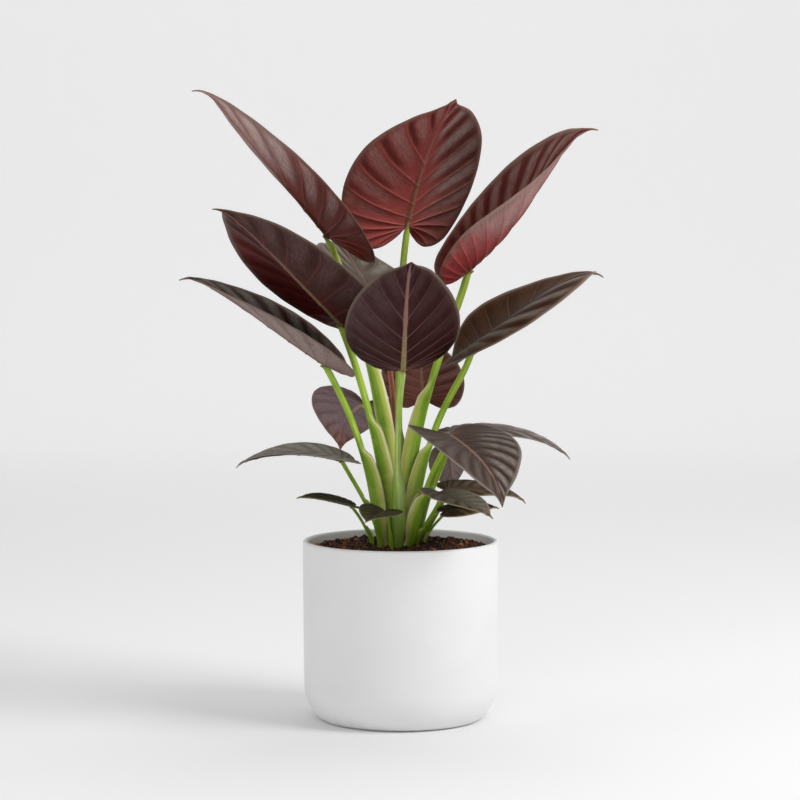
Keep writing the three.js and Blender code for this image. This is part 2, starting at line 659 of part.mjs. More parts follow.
addPiece('soil', fromSolid(soil), FINISHES.soil);

export default plant;
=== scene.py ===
"""Potted red secret alocasia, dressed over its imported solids.

Nineteen leaves stand on sheathed stalks in a plain white pot of potting mix. Sizes are in
millimetres until a mesh is made, and angles in degrees. +Z is up and the front faces -Y.
"""

import logging
import math
from dataclasses import dataclass
from enum import Enum
from functools import reduce
from typing import Sequence, Union

import bpy
import numpy as np
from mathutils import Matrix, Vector

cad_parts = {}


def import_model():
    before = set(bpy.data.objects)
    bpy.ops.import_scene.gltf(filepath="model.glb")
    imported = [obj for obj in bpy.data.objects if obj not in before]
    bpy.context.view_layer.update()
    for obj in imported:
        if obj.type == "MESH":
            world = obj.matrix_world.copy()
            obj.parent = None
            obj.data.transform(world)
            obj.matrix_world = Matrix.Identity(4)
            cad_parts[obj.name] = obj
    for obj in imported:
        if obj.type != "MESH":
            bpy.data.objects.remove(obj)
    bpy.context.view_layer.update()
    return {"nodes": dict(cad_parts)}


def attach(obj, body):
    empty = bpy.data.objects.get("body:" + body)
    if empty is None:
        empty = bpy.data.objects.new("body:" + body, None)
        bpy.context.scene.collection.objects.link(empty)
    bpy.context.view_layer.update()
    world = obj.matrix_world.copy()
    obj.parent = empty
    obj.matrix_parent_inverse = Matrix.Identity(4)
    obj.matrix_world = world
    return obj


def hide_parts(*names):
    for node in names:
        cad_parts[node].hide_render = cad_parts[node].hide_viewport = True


Socket = bpy.types.NodeSocket
Value = Union[float, int, str, tuple, Socket]
Pair = tuple[float, float]
Triple = tuple[float, float, float]
Pairs = tuple[Pair, ...]
Rows = np.ndarray
Piece = bpy.types.Object

LOG = logging.getLogger("alocasia")
MM = 0.001
# Distance in metres within which corners are joined
SEAM = 1e-6
# How far a stalk's end lies under its blade, in stalk radii
STALK_INSET = 0.5
# Kinds of sizes of a shape tree
NUMBER, WHOLE = "NodeSocketFloat", "NodeSocketInt"


class Hand(Enum):
    """Half of a blade, seen with its tip ahead and its upper side up."""

    LEFT = 1
    RIGHT = -1


class Skin(Enum):
    """Kind of skin on a stalk, with the name of its finish."""

    GREEN = "stalk_skin"
    PALE = "pale_stalk_skin"
    RED = "red_stalk_skin"
    DUSKY = "dusky_stalk_skin"


class Face(Enum):
    """Side of a blade, as its place in the mesh's Upper attribute."""

    UNDER = 0.0
    UPPER = 1.0


def linear(code: str) -> tuple[float, float, float, float]:
    """Turns an sRGB hex code into a linear colour.

    Args:
        code: Six hexadecimal digits.

    Returns:
        Red, green, blue and alpha.
    """
    shares = [int(code[i : i + 2], 16) / 255 for i in (0, 2, 4)]
    red, green, blue = [
        s / 12.92 if s <= 0.04045 else ((s + 0.055) / 1.055) ** 2.4 for s in shares
    ]
    return red, green, blue, 1.0


class Graph:
    """Adds nodes to one tree. A value is a number, a tuple or another node's socket."""

    def __init__(self, tree: bpy.types.NodeTree) -> None:
        """Keeps the tree that nodes are added to."""
        self.tree = tree

    def fill(self, node: bpy.types.Node, values: dict[str, Value]) -> None:
        """Sets or links a node's sockets.

        Args:
            node: The node.
            values: What goes into its sockets, by socket identifier.
        """
        sockets = {socket.identifier: socket for socket in node.inputs}
        for key, value in values.items():
            if isinstance(value, Socket):
                self.tree.links.new(value, sockets[key])
            else:
                sockets[key].default_value = value

    def add(self, kind: str, values: dict[str, Value], out: str = "", **settings: object) -> Socket:
        """Adds one node.

        Args:
            kind: The node's type name.
            values: What goes into its sockets, by socket identifier.
            out: Identifier of the wanted output, or the first one when empty.
            **settings: The node's own properties.

        Returns:
            The wanted output socket.
        """
        node = self.tree.nodes.new(kind)
        for key, setting in settings.items():
            setattr(node, key, setting)
        self.fill(node, values)
        if not out:
            return node.outputs[0]
        return {socket.identifier: socket for socket in node.outputs}[out]

    def math(self, operation: str, *values: Value, clamp: bool = False) -> Socket:
        """Adds a Math node and returns its result."""
        sockets = dict(zip(("Value", "Value_001", "Value_002"), values))
        return self.add("ShaderNodeMath", sockets, operation=operation, use_clamp=clamp)

    def plus(self, a: Value, b: Value) -> Socket:
        """Returns a sum."""
        return self.math("ADD", a, b)

    def minus(self, a: Value, b: Value) -> Socket:
        """Returns a difference."""
        return self.math("SUBTRACT", a, b)

    def times(self, a: Value, b: Value, clamp: bool = False) -> Socket:
        """Returns a product."""
        return self.math("MULTIPLY", a, b, clamp=clamp)

    def product(self, *values: Value) -> Socket:
        """Returns the product of any number of values."""
        return reduce(self.times, values)

    def line(self, a: Value, slope: Value, start: Value, clamp: bool = False) -> Socket:
        """Returns a times a slope, plus a start."""
        return self.math("MULTIPLY_ADD", a, slope, start, clamp=clamp)

    def vector(self, operation: str, a: Value, b: Value = (0, 0, 0), out: str = "") -> Socket:
        """Adds a Vector Math node and returns its vector, or its number with out at "Value"."""
        values = {"Vector": a, "Vector_001": b}
        return self.add("ShaderNodeVectorMath", values, out=out, operation=operation)

    def scaled(self, a: Value, factor: Value) -> Socket:
        """Adds a vector times a number and returns the vector."""
        return self.add("ShaderNodeVectorMath", {"Vector": a, "Scale": factor}, operation="SCALE")

    def noise(
        self, place: Value, scale: float, detail: float, roughness: float = 0.5, out: str = ""
    ) -> Socket:
        """Adds a Noise Texture and returns its value or another output."""
        values = {"Vector": place, "Scale": scale, "Detail": detail, "Roughness": roughness}
        return self.add("ShaderNodeTexNoise", values, out=out)

    def spot(self) -> Socket:
        """Returns a material's place on its object, in metres."""
        return self.add("ShaderNodeTexCoord", {}, out="Object")

    def bump(self, height: Value, strength: float, distance: float) -> Socket:
        """Adds a Bump node, with its distance in metres, and returns the normal."""
        values = {"Strength": strength, "Distance": distance, "Height": height}
        return self.add("ShaderNodeBump", values)

    def combine(self, x: Value, y: Value, z: Value) -> Socket:
        """Adds a vector made of three numbers and returns it."""
        return self.add("ShaderNodeCombineXYZ", {"X": x, "Y": y, "Z": z})

    def part(self, vector: Value, axis: str) -> Socket:
        """Returns one component of a vector."""
        return self.add("ShaderNodeSeparateXYZ", {"Vector": vector}, out=axis)

    def ramp(
        self, value: Value, start: float, end: float, low: float = 0.0, high: float = 1.0
    ) -> Socket:
        """Adds a smooth step of a value between two limits and returns it."""
        values = {"Value": value, "From Min": start, "From Max": end, "To Min": low, "To Max": high}
        return self.add("ShaderNodeMapRange", values, interpolation_type="SMOOTHSTEP")

    def window(self, value: Value, rise: Pair, fall: Pair) -> Socket:
        """Returns a smooth step in times a smooth step out."""
        return self.times(self.ramp(value, *rise), self.ramp(value, *fall))

    def blend(self, share: Value, a: Value, b: Value, mode: str = "MIX") -> Socket:
        """Mixes two colours, each a hex code or another value, and returns the result."""
        a, b = (linear(colour) if isinstance(colour, str) else colour for colour in (a, b))
        values = {"Factor_Float": share, "A_Color": a, "B_Color": b}
        out = "Result_Color"
        return self.add("ShaderNodeMix", values, out=out, data_type="RGBA", blend_type=mode)

    def over(self, colour: Value, mark: Value, strength: Value, top: Value) -> Socket:
        """Lays a colour over another where a mark is, and returns the result."""
        return self.blend(self.times(mark, strength), colour, top)

    def grained(
        self, colour: Value, grain: Value, share: float, slope: float, start: float
    ) -> Socket:
        """Makes a colour lighter and darker along a grain, and returns the result."""
        grey = self.line(grain, slope, start, clamp=True)
        return self.blend(share, colour, self.combine(grey, grey, grey), mode="OVERLAY")

    def curve(self, value: Value, points: Sequence[Pair], smooth: bool = False) -> Socket:
        """Adds a drawn curve through points.

        Args:
            value: What is looked up, from 0 to 1.
            points: Corners of the curve, each a place and a height from 0 to 1.
            smooth: Whether the curve bends gently or runs straight between corners.

        Returns:
            The curve's height at the value.
        """
        result = self.add("ShaderNodeFloatCurve", {"Value": value})
        line = result.node.mapping.curves[0]
        for k, (place, height) in enumerate(points):
            point = line.points[k] if k < 2 else line.points.new(place, height)
            point.location = (place, height)
        for point in line.points:
            point.handle_type = "AUTO_CLAMPED" if smooth else "VECTOR"
        result.node.mapping.update()
        return result

    def named(self, name: str) -> Socket:
        """Returns a mesh attribute's number in a material."""
        return self.add("ShaderNodeAttribute", {}, out="Fac", attribute_name=name)

    def keep(
        self, mesh: Value, name: str, value: Value, kind: str = "FLOAT", domain: str = "POINT"
    ) -> Socket:
        """Stores a value on a mesh under a name and returns the mesh."""
        values = {"Geometry": mesh, "Name": name, "Value": value}
        return self.add("GeometryNodeStoreNamedAttribute", values, data_type=kind, domain=domain)


@dataclass
class ShapeTree:
    """A Geometry Nodes tree with named sizes and a material."""

    name: str
    sizes: dict[str, str]

    def __post_init__(self) -> None:
        """Makes the tree, its sizes and its two end nodes."""
        self.tree = bpy.data.node_groups.new(self.name, "GeometryNodeTree")
        face = self.tree.interface
        face.new_socket("Geometry", in_out="INPUT", socket_type="NodeSocketGeometry")
        for label, kind in {**self.sizes, "Material": "NodeSocketMaterial"}.items():
            face.new_socket(label, in_out="INPUT", socket_type=kind)
        face.new_socket("Geometry", in_out="OUTPUT", socket_type="NodeSocketGeometry")
        self.graph = Graph(self.tree)
        self.start = self.tree.nodes.new("NodeGroupInput")
        self.end = self.tree.nodes.new("NodeGroupOutput")

    def size(self, label: str) -> Socket:
        """Returns the socket of a named size."""
        return self.start.outputs[label]

    def merged(self, mesh: Socket) -> Socket:
        """Joins corners that lie on each other."""
        values = {"Geometry": mesh, "Distance": SEAM}
        return self.graph.add("GeometryNodeMergeByDistance", values)

    def finish(self, mesh: Socket, even: bool = True) -> None:
        """Ends the tree.

        Args:
            mesh: The result, whose instances are realized and which gets its material.
            even: Whether its faces are shaded smooth or flat.
        """
        g = self.graph
        mesh = g.add("GeometryNodeSetShadeSmooth", {"Geometry": mesh, "Shade Smooth": even})
        mesh = g.add("GeometryNodeRealizeInstances", {"Geometry": mesh})
        values = {"Geometry": mesh, "Material": self.size("Material")}
        mesh = g.add("GeometryNodeSetMaterial", values)
        self.tree.links.new(mesh, self.end.inputs[0])

    def grow(self, base: Piece, name: str, values: dict[str, object]) -> Piece:
        """Runs the tree on a base object and keeps the result as a plain mesh.

        Args:
            base: Object whose geometry goes in. It is removed afterwards.
            name: The new piece's name.
            values: The tree's sizes, by label.

        Returns:
            The new piece.
        """
        modifier = base.modifiers.new(self.name, "NODES")
        modifier.node_group = self.tree
        for item in self.tree.interface.items_tree:
            if item.in_out == "INPUT" and item.name in values:
                modifier[item.identifier] = values[item.name]
        graph = bpy.context.evaluated_depsgraph_get()
        mesh = bpy.data.meshes.new_from_object(
            base.evaluated_get(graph), preserve_all_data_layers=True, depsgraph=graph
        )
        base.modifiers.remove(modifier)
        bpy.data.objects.remove(base)
        mesh.name = name
        return placed(name, mesh)


def placed(name: str, mesh: bpy.types.ID) -> Piece:
    """Makes an object of a mesh or curve, in the scene, at the origin."""
    piece = bpy.data.objects.new(name, mesh)
    bpy.context.scene.collection.objects.link(piece)
    return piece


def line_object(name: str, points: Rows) -> Piece:
    """Makes an object of one open line through points.

    Args:
        name: The object's name.
        points: One point a row, in millimetres.

    Returns:
        The new object.
    """
    curve = bpy.data.curves.new(name, "CURVE")
    curve.dimensions = "3D"
    spline = curve.splines.new("POLY")
    spline.points.add(len(points) - 1)
    spline.points.foreach_set("co", np.c_[points * MM, np.ones(len(points))].ravel())
    return placed(name, curve)


def mesh_object(
    name: str,
    points: Rows,
    faces: list[Sequence[int]],
    marks: dict[str, Rows],
    places: Rows,
    material: bpy.types.Material,
) -> Piece:
    """Makes a smooth mesh object.

    Args:
        name: The object's name.
        points: One corner a row, in millimetres.
        faces: Corners of each face, anticlockwise from outside.
        marks: A number for each corner, by attribute name.
        places: Each corner's place on the surface, kept as the UV map.
        material: What the object is made of.

    Returns:
        The new object.
    """
    mesh = bpy.data.meshes.new(name)
    mesh.from_pydata((points * MM).tolist(), [], faces)
    mesh.polygons.foreach_set("use_smooth", np.ones(len(mesh.polygons), bool))
    for label, values in marks.items():
        layer = mesh.attributes.new(label, "FLOAT", "POINT")
        layer.data.foreach_set("value", values.astype(np.float32))
    corners = np.empty(len(mesh.loops), np.int32)
    mesh.loops.foreach_get("vertex_index", corners)
    uv = mesh.uv_layers.new(name="UVMap")
    uv.data.foreach_set("uv", places[corners].astype(np.float32).ravel())
    mesh.materials.append(material)
    mesh.update()
    return placed(name, mesh)


def through(points: Rows, t: Rows) -> Rows:
    """Reads a smooth curve through points.

    Args:
        points: One point a row.
        t: Where to read it, from 0 at the first point to 1 at the last.

    Returns:
        One point a row, for each t.
    """
    spans = len(points) - 1
    ends = np.vstack([2 * points[0] - points[1], points, 2 * points[-1] - points[-2]])
    i = np.minimum(np.floor(t * spans), spans - 1).astype(int)
    f = (t * spans - i)[:, None]
    a, b, c, d = (ends[i + k] for k in range(4))
    return 0.5 * (
        2 * b + (c - a) * f + (2 * a - 5 * b + 4 * c - d) * f**2 + (3 * b - a - 3 * c + d) * f**3
    )


def smooth(x: Rows, start: float, end: float) -> Rows:
    """Smooth step of x from 0 at start to 1 at end."""
    share = np.clip((x - start) / (end - start), 0, 1)
    return share * share * (3 - 2 * share)


def normed(rows: Rows) -> Rows:
    """Scales each vector of an array to length 1."""
    return rows / np.maximum(np.linalg.norm(rows, axis=-1, keepdims=True), 1e-12)


@dataclass(frozen=True)
class BladeLook:
    """Colours of one blade, as sRGB hex codes, and where its red lies.

    blush_slope gives how the red grows across the blade, left positive, along it, and its start.
    Its two pairs of strengths give how strong the painted sheen (grey bands) and the painted
    shade (dark hollows) between the veins are, on the left half and on the right.
    """

    under: str = "4b3533"
    blush: str = "5c2a28"
    blush_slope: Triple = (0.0, 0.0, 0.0)
    upper: str = "3a2c26"
    # Painted sheen: the grey of reflections off the quilted blade, laid on in bands
    painted_sheen_colour: str = "6a625c"
    vein: str = "7d5f58"
    rib_base: str = "7d6a4c"
    rib_tip: str = "86605a"
    rim: str = "8e7b6e"
    # Strengths of the painted sheen bands and of the painted shade in the hollows, left and right
    painted_sheen_strengths: Pair = (0.35, 0.35)
    hollows: Pair = (0.6, 0.6)
    gloss: float = 0.46


@dataclass(frozen=True)
class Leaf:
    """One leaf: where its stalk and blade lie, and how the blade bends.

    size is the blade's length and half width, aim its heading, rise and roll at the seat, bends
    how it bends in all, more towards its tip, and at the very tip, and turns its sweep and
    twist. fold and cup are the left half's and the right's. The stalk goes from foot by lean and
    reach to the seat. stalk is its radius, then its sheath's top, radius and open side.
    """

    number: int
    seat: Triple
    size: Pair
    aim: Triple
    bends: Triple
    turns: Pair
    fold: Pair
    cup: Pair
    foot: Pair
    lean: Triple
    reach: Triple
    stalk: tuple[float, float, float, float]
    look: BladeLook = BladeLook()
    quilting: float = 1.0
    vein_count: int = 13
    vein_spread: float = 1.4
    skin: Skin = Skin.GREEN


@dataclass(frozen=True)
class Finish:
    """What a piece is made of."""

    def sockets(self, g: Graph) -> dict[str, Value]:
        """Gives what goes into each socket of the surface shader."""
        raise NotImplementedError

    def material(self, name: str) -> bpy.types.Material:
        """Makes the finish as a material.

        Args:
            name: The material's name.

        Returns:
            The new material.
        """
        material = bpy.data.materials.new(name)
        material.use_nodes = True
        g = Graph(material.node_tree)
        g.fill(material.node_tree.nodes["Principled BSDF"], self.sockets(g))
        return material


@dataclass(frozen=True)
class BladeFinish(Finish):
    """Leaf tissue: dull metallic copper-red below, dark olive-brown above, both satin.

    A pair gives the two ends of a smooth step, and two pairs one step in and one out: middle
    from the midrib to the margin; the painted shade in the hollows and the painted sheen band
    from one side vein to the next.
    """

    look: BladeLook
    # Painted shade: the dark laid in the hollows beside the side veins
    hollow_colour: str = "331714"
    margin_colour: str = "5a4c44"
    middle: tuple[Pair, Pair] = ((0.15, 0.6), (1.0, 0.9))
    hollow: tuple[Pair, Pair] = ((0.0, 0.12), (0.5, 0.16))
    band: tuple[Pair, Pair] = ((0.25, 0.6), (1.0, 0.75))
    hollow_start: Pair = (-0.1, 0.3)
    band_start: Pair = (-0.1, 0.35)
    margin: Pair = (0.86, 0.98)
    margin_share: float = 0.35
    rim_share: float = 0.6
    rib_turn: Pair = (0.05, 0.6)
    grain_share: float = 0.55
    cell_bump: float = 0.25
    cell_depth: float = 0.0004
    gloss_spread: float = 0.18

    def sockets(self, g: Graph) -> dict[str, Value]:
        """Gives what goes into each socket of the surface shader."""
        look = self.look
        place = g.add("ShaderNodeUVMap", {}, uv_map="UVMap")
        across, along = g.part(place, "X"), g.part(place, "Y")
        count, outer, upper = g.named("Vein_count"), g.named("Outward"), g.named("Upper")
        left = g.math("GREATER_THAN", across, 0.0)
        flow = g.combine(g.times(count, 9.0), g.times(outer, 4.0), left)
        grain = g.noise(flow, 2.0, 4.0, 0.7)
        mottle = g.noise(place, 4.0, 5.0, 0.6)
        uneven = g.line(mottle, 1.6, -0.8)

        slope_x, slope_y, start = look.blush_slope
        red = g.plus(g.times(across, slope_x), g.line(along, slope_y, start))
        below = g.blend(g.ramp(g.plus(red, uneven), 0.0, 1.0), look.under, look.blush)
        colour = g.blend(upper, below, look.upper)

        between = g.math("FRACT", count)
        middle = g.window(outer, *self.middle)
        # Painted shade: dark crescents just past each side vein, where the quilting would lie in
        # shadow
        hollow = g.product(
            g.window(between, *self.hollow), middle, self.halves(g, left, look.hollows),
            g.ramp(along, *self.hollow_start),
        )
        colour = g.blend(hollow, colour, self.hollow_colour)
        # Painted sheen: grey bands between the side veins, standing in for reflections off the
        # quilting
        band = g.product(
            g.window(between, *self.band), g.ramp(along, *self.band_start),
            self.halves(g, left, look.painted_sheen_strengths), middle,
        )
        band = g.times(band, g.plus(g.times(grain, 1.6), uneven), clamp=True)
        colour = g.blend(band, colour, look.painted_sheen_colour)
        colour = g.over(colour, g.ramp(outer, *self.margin), self.margin_share, self.margin_colour)
        colour = g.grained(colour, grain, self.grain_share, 1.6, -0.3)

        dull = g.line(upper, -0.25, 0.8)
        faint = g.times(dull, g.line(outer, -0.6, 1.0))
        rib_colour = g.blend(g.ramp(along, *self.rib_turn), look.rib_base, look.rib_tip)
        colour = g.over(colour, g.named("Vein"), faint, look.vein)
        colour = g.over(colour, g.named("Rib"), dull, rib_colour)
        colour = g.over(colour, g.named("Rim"), self.rim_share, look.rim)

        values = {"Vector": flow, "Scale": 1.0}
        cells = g.add("ShaderNodeTexVoronoi", values, feature="DISTANCE_TO_EDGE")
        relief = g.line(g.ramp(cells, 0.0, 0.25), 0.6, g.times(grain, 0.5))
        gloss = g.line(mottle, self.gloss_spread, look.gloss - self.gloss_spread / 2)
        return {
            "Base Color": colour, "Roughness": gloss, "IOR": 1.45, "Specular IOR Level": 0.03,
            "Normal": g.bump(relief, self.cell_bump, self.cell_depth),
        }

    def halves(self, g: Graph, left: Socket, strengths: Pair) -> Socket:
        """Gives one strength on the blade's left half and another on its right."""
        return g.line(left, strengths[0] - strengths[1], strengths[1])


@dataclass(frozen=True)
class StalkFinish(Finish):
    """Smooth fresh green stalk with fine lengthwise lines and pale sheath edges.

    Heights are in metres from the floor, tips in shares of the stalk's length.
    """

    green: str = "a3c541"
    light: str = "cfe46c"
    dark: str = "648f1a"
    base: str = "73961c"
    wing: str = "dcd47c"
    edge: str = "fdf5e4"
    tip: str = "86764e"
    tip_start: float = 0.955
    tip_fade: float = 0.03
    base_heights: Pair = (0.2, 0.14)
    light_heights: Pair = (0.25, 0.36)
    gloss: float = 0.45
    fine_lines: Pair = (60.0, 5.0)
    broad_lines: Pair = (9.0, 2.0)

    def sockets(self, g: Graph) -> dict[str, Value]:
        """Gives what goes into each socket of the surface shader."""
        place = g.add("ShaderNodeUVMap", {}, uv_map="UVMap")
        around, along = g.part(place, "X"), g.part(place, "Y")
        fine, broad = (
            g.combine(g.times(around, lines[0]), g.times(along, lines[1]), start)
            for lines, start in ((self.fine_lines, 0.0), (self.broad_lines, 3.0))
        )
        fine, broad = g.noise(fine, 1.0, 4.0, 0.65), g.noise(broad, 1.0, 3.0)
        spot = g.spot()
        height = g.part(spot, "Z")
        blotches = g.times(g.ramp(g.noise(spot, 45.0, 4.0), 0.42, 0.68), 0.5)
        colour = g.blend(g.ramp(broad, 0.42, 0.62), self.green, self.light)
        layers = (
            (g.line(g.named("Sheath_core"), 0.8, blotches, clamp=True), 0.85, self.dark),
            (g.ramp(height, *self.base_heights), 0.8, self.base),
            (g.ramp(height, *self.light_heights), 0.5, self.light),
            (g.named("Sheath_wing"), 0.85, self.wing),
            (g.named("Sheath_edge"), 0.95, self.edge),
            (g.ramp(along, self.tip_start, self.tip_start + self.tip_fade), 0.85, self.tip),
        )
        for mark, strength, top in layers:
            colour = g.over(colour, mark, strength, top)
        return {
            "Base Color": g.grained(colour, fine, 0.45, 1.2, -0.1), "Roughness": self.gloss,
            "Normal": g.bump(fine, 0.3, 0.0005), "IOR": 1.42, "Specular IOR Level": 0.18,
            "Subsurface Weight": 0.2, "Subsurface Radius": (0.004, 0.006, 0.001),
            "Subsurface Scale": 0.4,
        }


@dataclass(frozen=True)
class SoilFinish(Finish):
    """Moist, coarse potting mix: dark crumbs with red-brown bark.

    With crumbs each crumb has a shade of its own, from its Shade attribute.
    """

    crumbs: bool = False
    dark: str = "2a140b"
    middle: str = "6c3d20"
    light: str = "c07e4a"
    roughness: float = 0.85

    def sockets(self, g: Graph) -> dict[str, Value]:
        """Gives what goes into each socket of the surface shader."""
        spot = g.spot()
        fine = g.noise(spot, 900.0, 4.0, 0.7)
        shade = g.named("Shade") if self.crumbs else g.noise(spot, 160.0, 4.0)
        colour = g.blend(g.ramp(shade, 0.25, 0.75), self.dark, self.middle)
        colour = g.blend(g.ramp(shade, 0.82, 0.97), colour, self.light)
        return {
            "Base Color": g.over(colour, fine, 0.35, self.dark), "Roughness": self.roughness,
            "Normal": g.bump(fine, 0.6, 0.0006),
        }


@dataclass(frozen=True)
class RhizomeFinish(Finish):
    """Brown, ringed skin of the rhizome."""

    skin: str = "6b4a30"
    ring: str = "3d2818"
    roughness: float = 0.8

    def sockets(self, g: Graph) -> dict[str, Value]:
        """Gives what goes into each socket of the surface shader."""
        values = {"Vector": g.spot(), "Scale": 40.0, "Distortion": 3.0, "Detail": 3.0}
        rings = g.add("ShaderNodeTexWave", values, bands_direction="Z")
        return {
            "Base Color": g.blend(rings, self.ring, self.skin), "Roughness": self.roughness,
            "Normal": g.bump(rings, 0.5, 0.001),
        }


@dataclass(frozen=True)
class GlazeFinish(Finish):
    """White satin glaze, very slightly uneven."""

    white: str = "f5f5f5"
    shade: str = "f1f1f2"
    roughness: float = 0.5
    spread: float = 0.12

    def sockets(self, g: Graph) -> dict[str, Value]:
        """Gives what goes into each socket of the surface shader."""
        spot = g.spot()
        broad, fine = g.noise(spot, 12.0, 3.0), g.noise(spot, 420.0, 3.0, 0.6)
        return {
            "Base Color": g.blend(g.ramp(broad, 0.35, 0.7), self.white, self.shade),
            "Roughness": g.line(fine, self.spread, self.roughness - self.spread / 2),
            "Normal": g.bump(fine, 0.12, 0.0003), "IOR": 1.5, "Subsurface Weight": 0.3,
            "Subsurface Radius": (0.012, 0.012, 0.012), "Subsurface Scale": 1.0,
        }


@dataclass(frozen=True)
class BackdropFinish(Finish):
    """Matt pale paint that glows more and more towards the wall."""

    paint: str = "efefef"
    glow: float = 0.27
    glow_depths: Pair = (0.2, 3.4)

    def sockets(self, g: Graph) -> dict[str, Value]:
        """Gives what goes into each socket of the surface shader."""
        return {
            "Base Color": linear(self.paint), "Roughness": 0.9, "Specular IOR Level": 0.2,
            "Emission Color": (1, 1, 1, 1),
            "Emission Strength": g.ramp(g.part(g.spot(), "Y"), *self.glow_depths, 0.0, self.glow),
        }


@dataclass
class Blade:
    """One leaf blade with raised veins below and quilting between them.

    Places along it are in its lengths from the seat, and across it in its half widths. outline
    is the left margin, from the sinus to the tip. many_rows are shares of the way from one side
    vein to the next where the mesh has a line, and a blade shorter than small gets few_rows.
    """

    leaf: Leaf
    thickness: float = 0.8
    rim_thickness: float = 0.5
    rib_half_width: float = 2.0
    rib_height: float = 2.1
    rib_taper: float = 0.7
    groove: float = 0.5
    vein_height: float = 0.45
    vein_half_width: float = 0.42
    vein_taper: Pair = (1.15, 0.75)
    vein_groove: float = 0.12
    quilt_height: float = 1.9
    quilt_drop: float = 0.35
    ruffle_height: float = 0.12
    lobe_reach: float = 0.2
    lobe_share: float = 4 / 9
    tip_curl_start: float = 0.8
    vein_arch: float = 0.22
    rim_start: float = 0.985
    rim_width: float = 1.3
    least_cup: float = 0.01
    nudge: float = 1e-3
    small: float = 80.0
    full_relief: float = 120.0
    midrib_steps: int = 240
    many_rows: tuple[float, ...] = (
        0, 0.03, 0.065, 0.11, 0.2, 0.35, 0.5, 0.65, 0.8, 0.89, 0.935, 0.97,
    )
    few_rows: tuple[float, ...] = (0, 0.06, 0.14, 0.32, 0.5, 0.68, 0.86, 0.94)
    many_columns: int = 20
    few_columns: int = 12
    rib_columns: tuple[float, ...] = (0, 0.3, 0.6, 0.85, 1.15)
    outline: Pairs = (
        (0, 0), (-0.085, 0.2), (-0.14, 0.47), (-0.1, 0.78), (0.06, 0.97),
        (0.27, 1), (0.52, 0.83), (0.76, 0.45), (0.9, 0.12), (1, 0),
    )

    def __post_init__(self) -> None:
        """Works out the midrib, and how far the relief shrinks on a small blade."""
        self.length, self.half_width = self.leaf.size
        self.relief = min(1.0, self.length / self.full_relief)
        self.quilt = self.quilt_height * self.leaf.quilting
        self.frames = self.midrib()

    def directions(self, t: Rows) -> tuple[Rows, Rows, Rows]:
        """Gives the midrib's direction, upper normal and left side.

        Args:
            t: Places along the midrib, in blade lengths from the seat.

        Returns:
            The three directions, one row for each place.
        """
        heading, rise, roll = (math.radians(a) for a in self.leaf.aim)
        bend, tip_bend, tip_curl = (math.radians(a) for a in self.leaf.bends)
        sweep, twist = (math.radians(a) * t for a in self.leaf.turns)
        level = np.array([math.cos(heading), math.sin(heading), 0.0])
        up = np.array([0.0, 0.0, 1.0])
        ahead = math.cos(rise) * level + math.sin(rise) * up
        upright = math.cos(rise) * up - math.sin(rise) * level
        left = np.cross(upright, ahead)
        normal = math.cos(roll) * upright + math.sin(roll) * left
        side = math.cos(roll) * left - math.sin(roll) * upright

        curl = np.maximum(0, (t - self.tip_curl_start) / (1 - self.tip_curl_start)) ** 2
        pitch = -bend * t - tip_bend * np.maximum(t, 0) ** 4 - tip_curl * curl
        pitch, sweep, twist = pitch[:, None], sweep[:, None], twist[:, None]
        pitched = np.cos(pitch) * ahead + np.sin(pitch) * normal
        direction = np.cos(sweep) * pitched + np.sin(sweep) * side
        flat = np.cos(pitch) * normal - np.sin(pitch) * ahead
        across = np.cross(flat, direction)
        upper = np.cos(twist) * flat + np.sin(twist) * across
        return direction, upper, np.cos(twist) * across - np.sin(twist) * flat

    def midrib(self) -> tuple[Rows, ...]:
        """Follows the midrib from behind the lobes to the tip.

        Returns:
            Places along it, and the point, normal and side at each.
        """
        t = np.linspace(-self.lobe_reach, 1, self.midrib_steps + 1)
        step = t[1] - t[0]
        run = self.directions(t[:-1] + step / 2)[0] * step * self.length
        points = np.vstack([np.zeros(3), np.cumsum(run, axis=0)])
        _, normal, side = self.directions(t)
        seat = np.array([np.interp(0.0, t, points[:, k]) for k in range(3)])
        return t, points - seat + np.array(self.leaf.seat), normal, side

    def surface(self, x: Rows, y: Rows) -> Rows:
        """Gives points of the blade's middle surface.

        Args:
            x: Places along the blade, in lengths from the seat.
            y: Places across it, in half widths, left positive.

        Returns:
            The points, with one more axis than x.
        """
        t, *rows = self.frames
        points, normals, sides = (
            np.stack([np.interp(x, t, row[:, k]) for k in range(3)], axis=-1) for row in rows
        )
        half = (y < 0).astype(int)
        distance = np.abs(y) * self.half_width
        fold = np.radians(np.array(self.leaf.fold, float))[half]
        cup = np.where(np.array(self.leaf.cup) == 0, self.least_cup, self.leaf.cup)
        curl = np.radians(cup)[half] / self.half_width
        out = (np.sin(fold + curl * distance) - np.sin(fold)) / curl
        raised = (np.cos(fold) - np.cos(fold + curl * distance)) / curl
        return points + sides * (np.sign(y) * out)[..., None] + normals * raised[..., None]

    def vein_start(self, u: Rows) -> Rows:
        """Where along the midrib the vein starts that ends at share u of the outline."""
        return np.maximum(0, (u - self.lobe_share) / (1 - self.lobe_share)) ** self.leaf.vein_spread

    def rows(self) -> Rows:
        """Shares of the outline where the mesh has a line, close together at each vein."""
        offsets = np.array(self.few_rows if self.length < self.small else self.many_rows)
        phases = (np.arange(self.leaf.vein_count)[:, None] + offsets[None, :]).ravel()
        return np.append(phases / self.leaf.vein_count, 1.0)

    def columns(self) -> Rows:
        """Shares from the midrib to the margin where the mesh has a line."""
        share = self.rib_half_width / self.half_width
        count = self.many_columns if self.length > self.small else self.few_columns
        near = np.array(self.rib_columns) * share
        return np.append(near, np.linspace(near[-1], 1, count + 1)[1:])

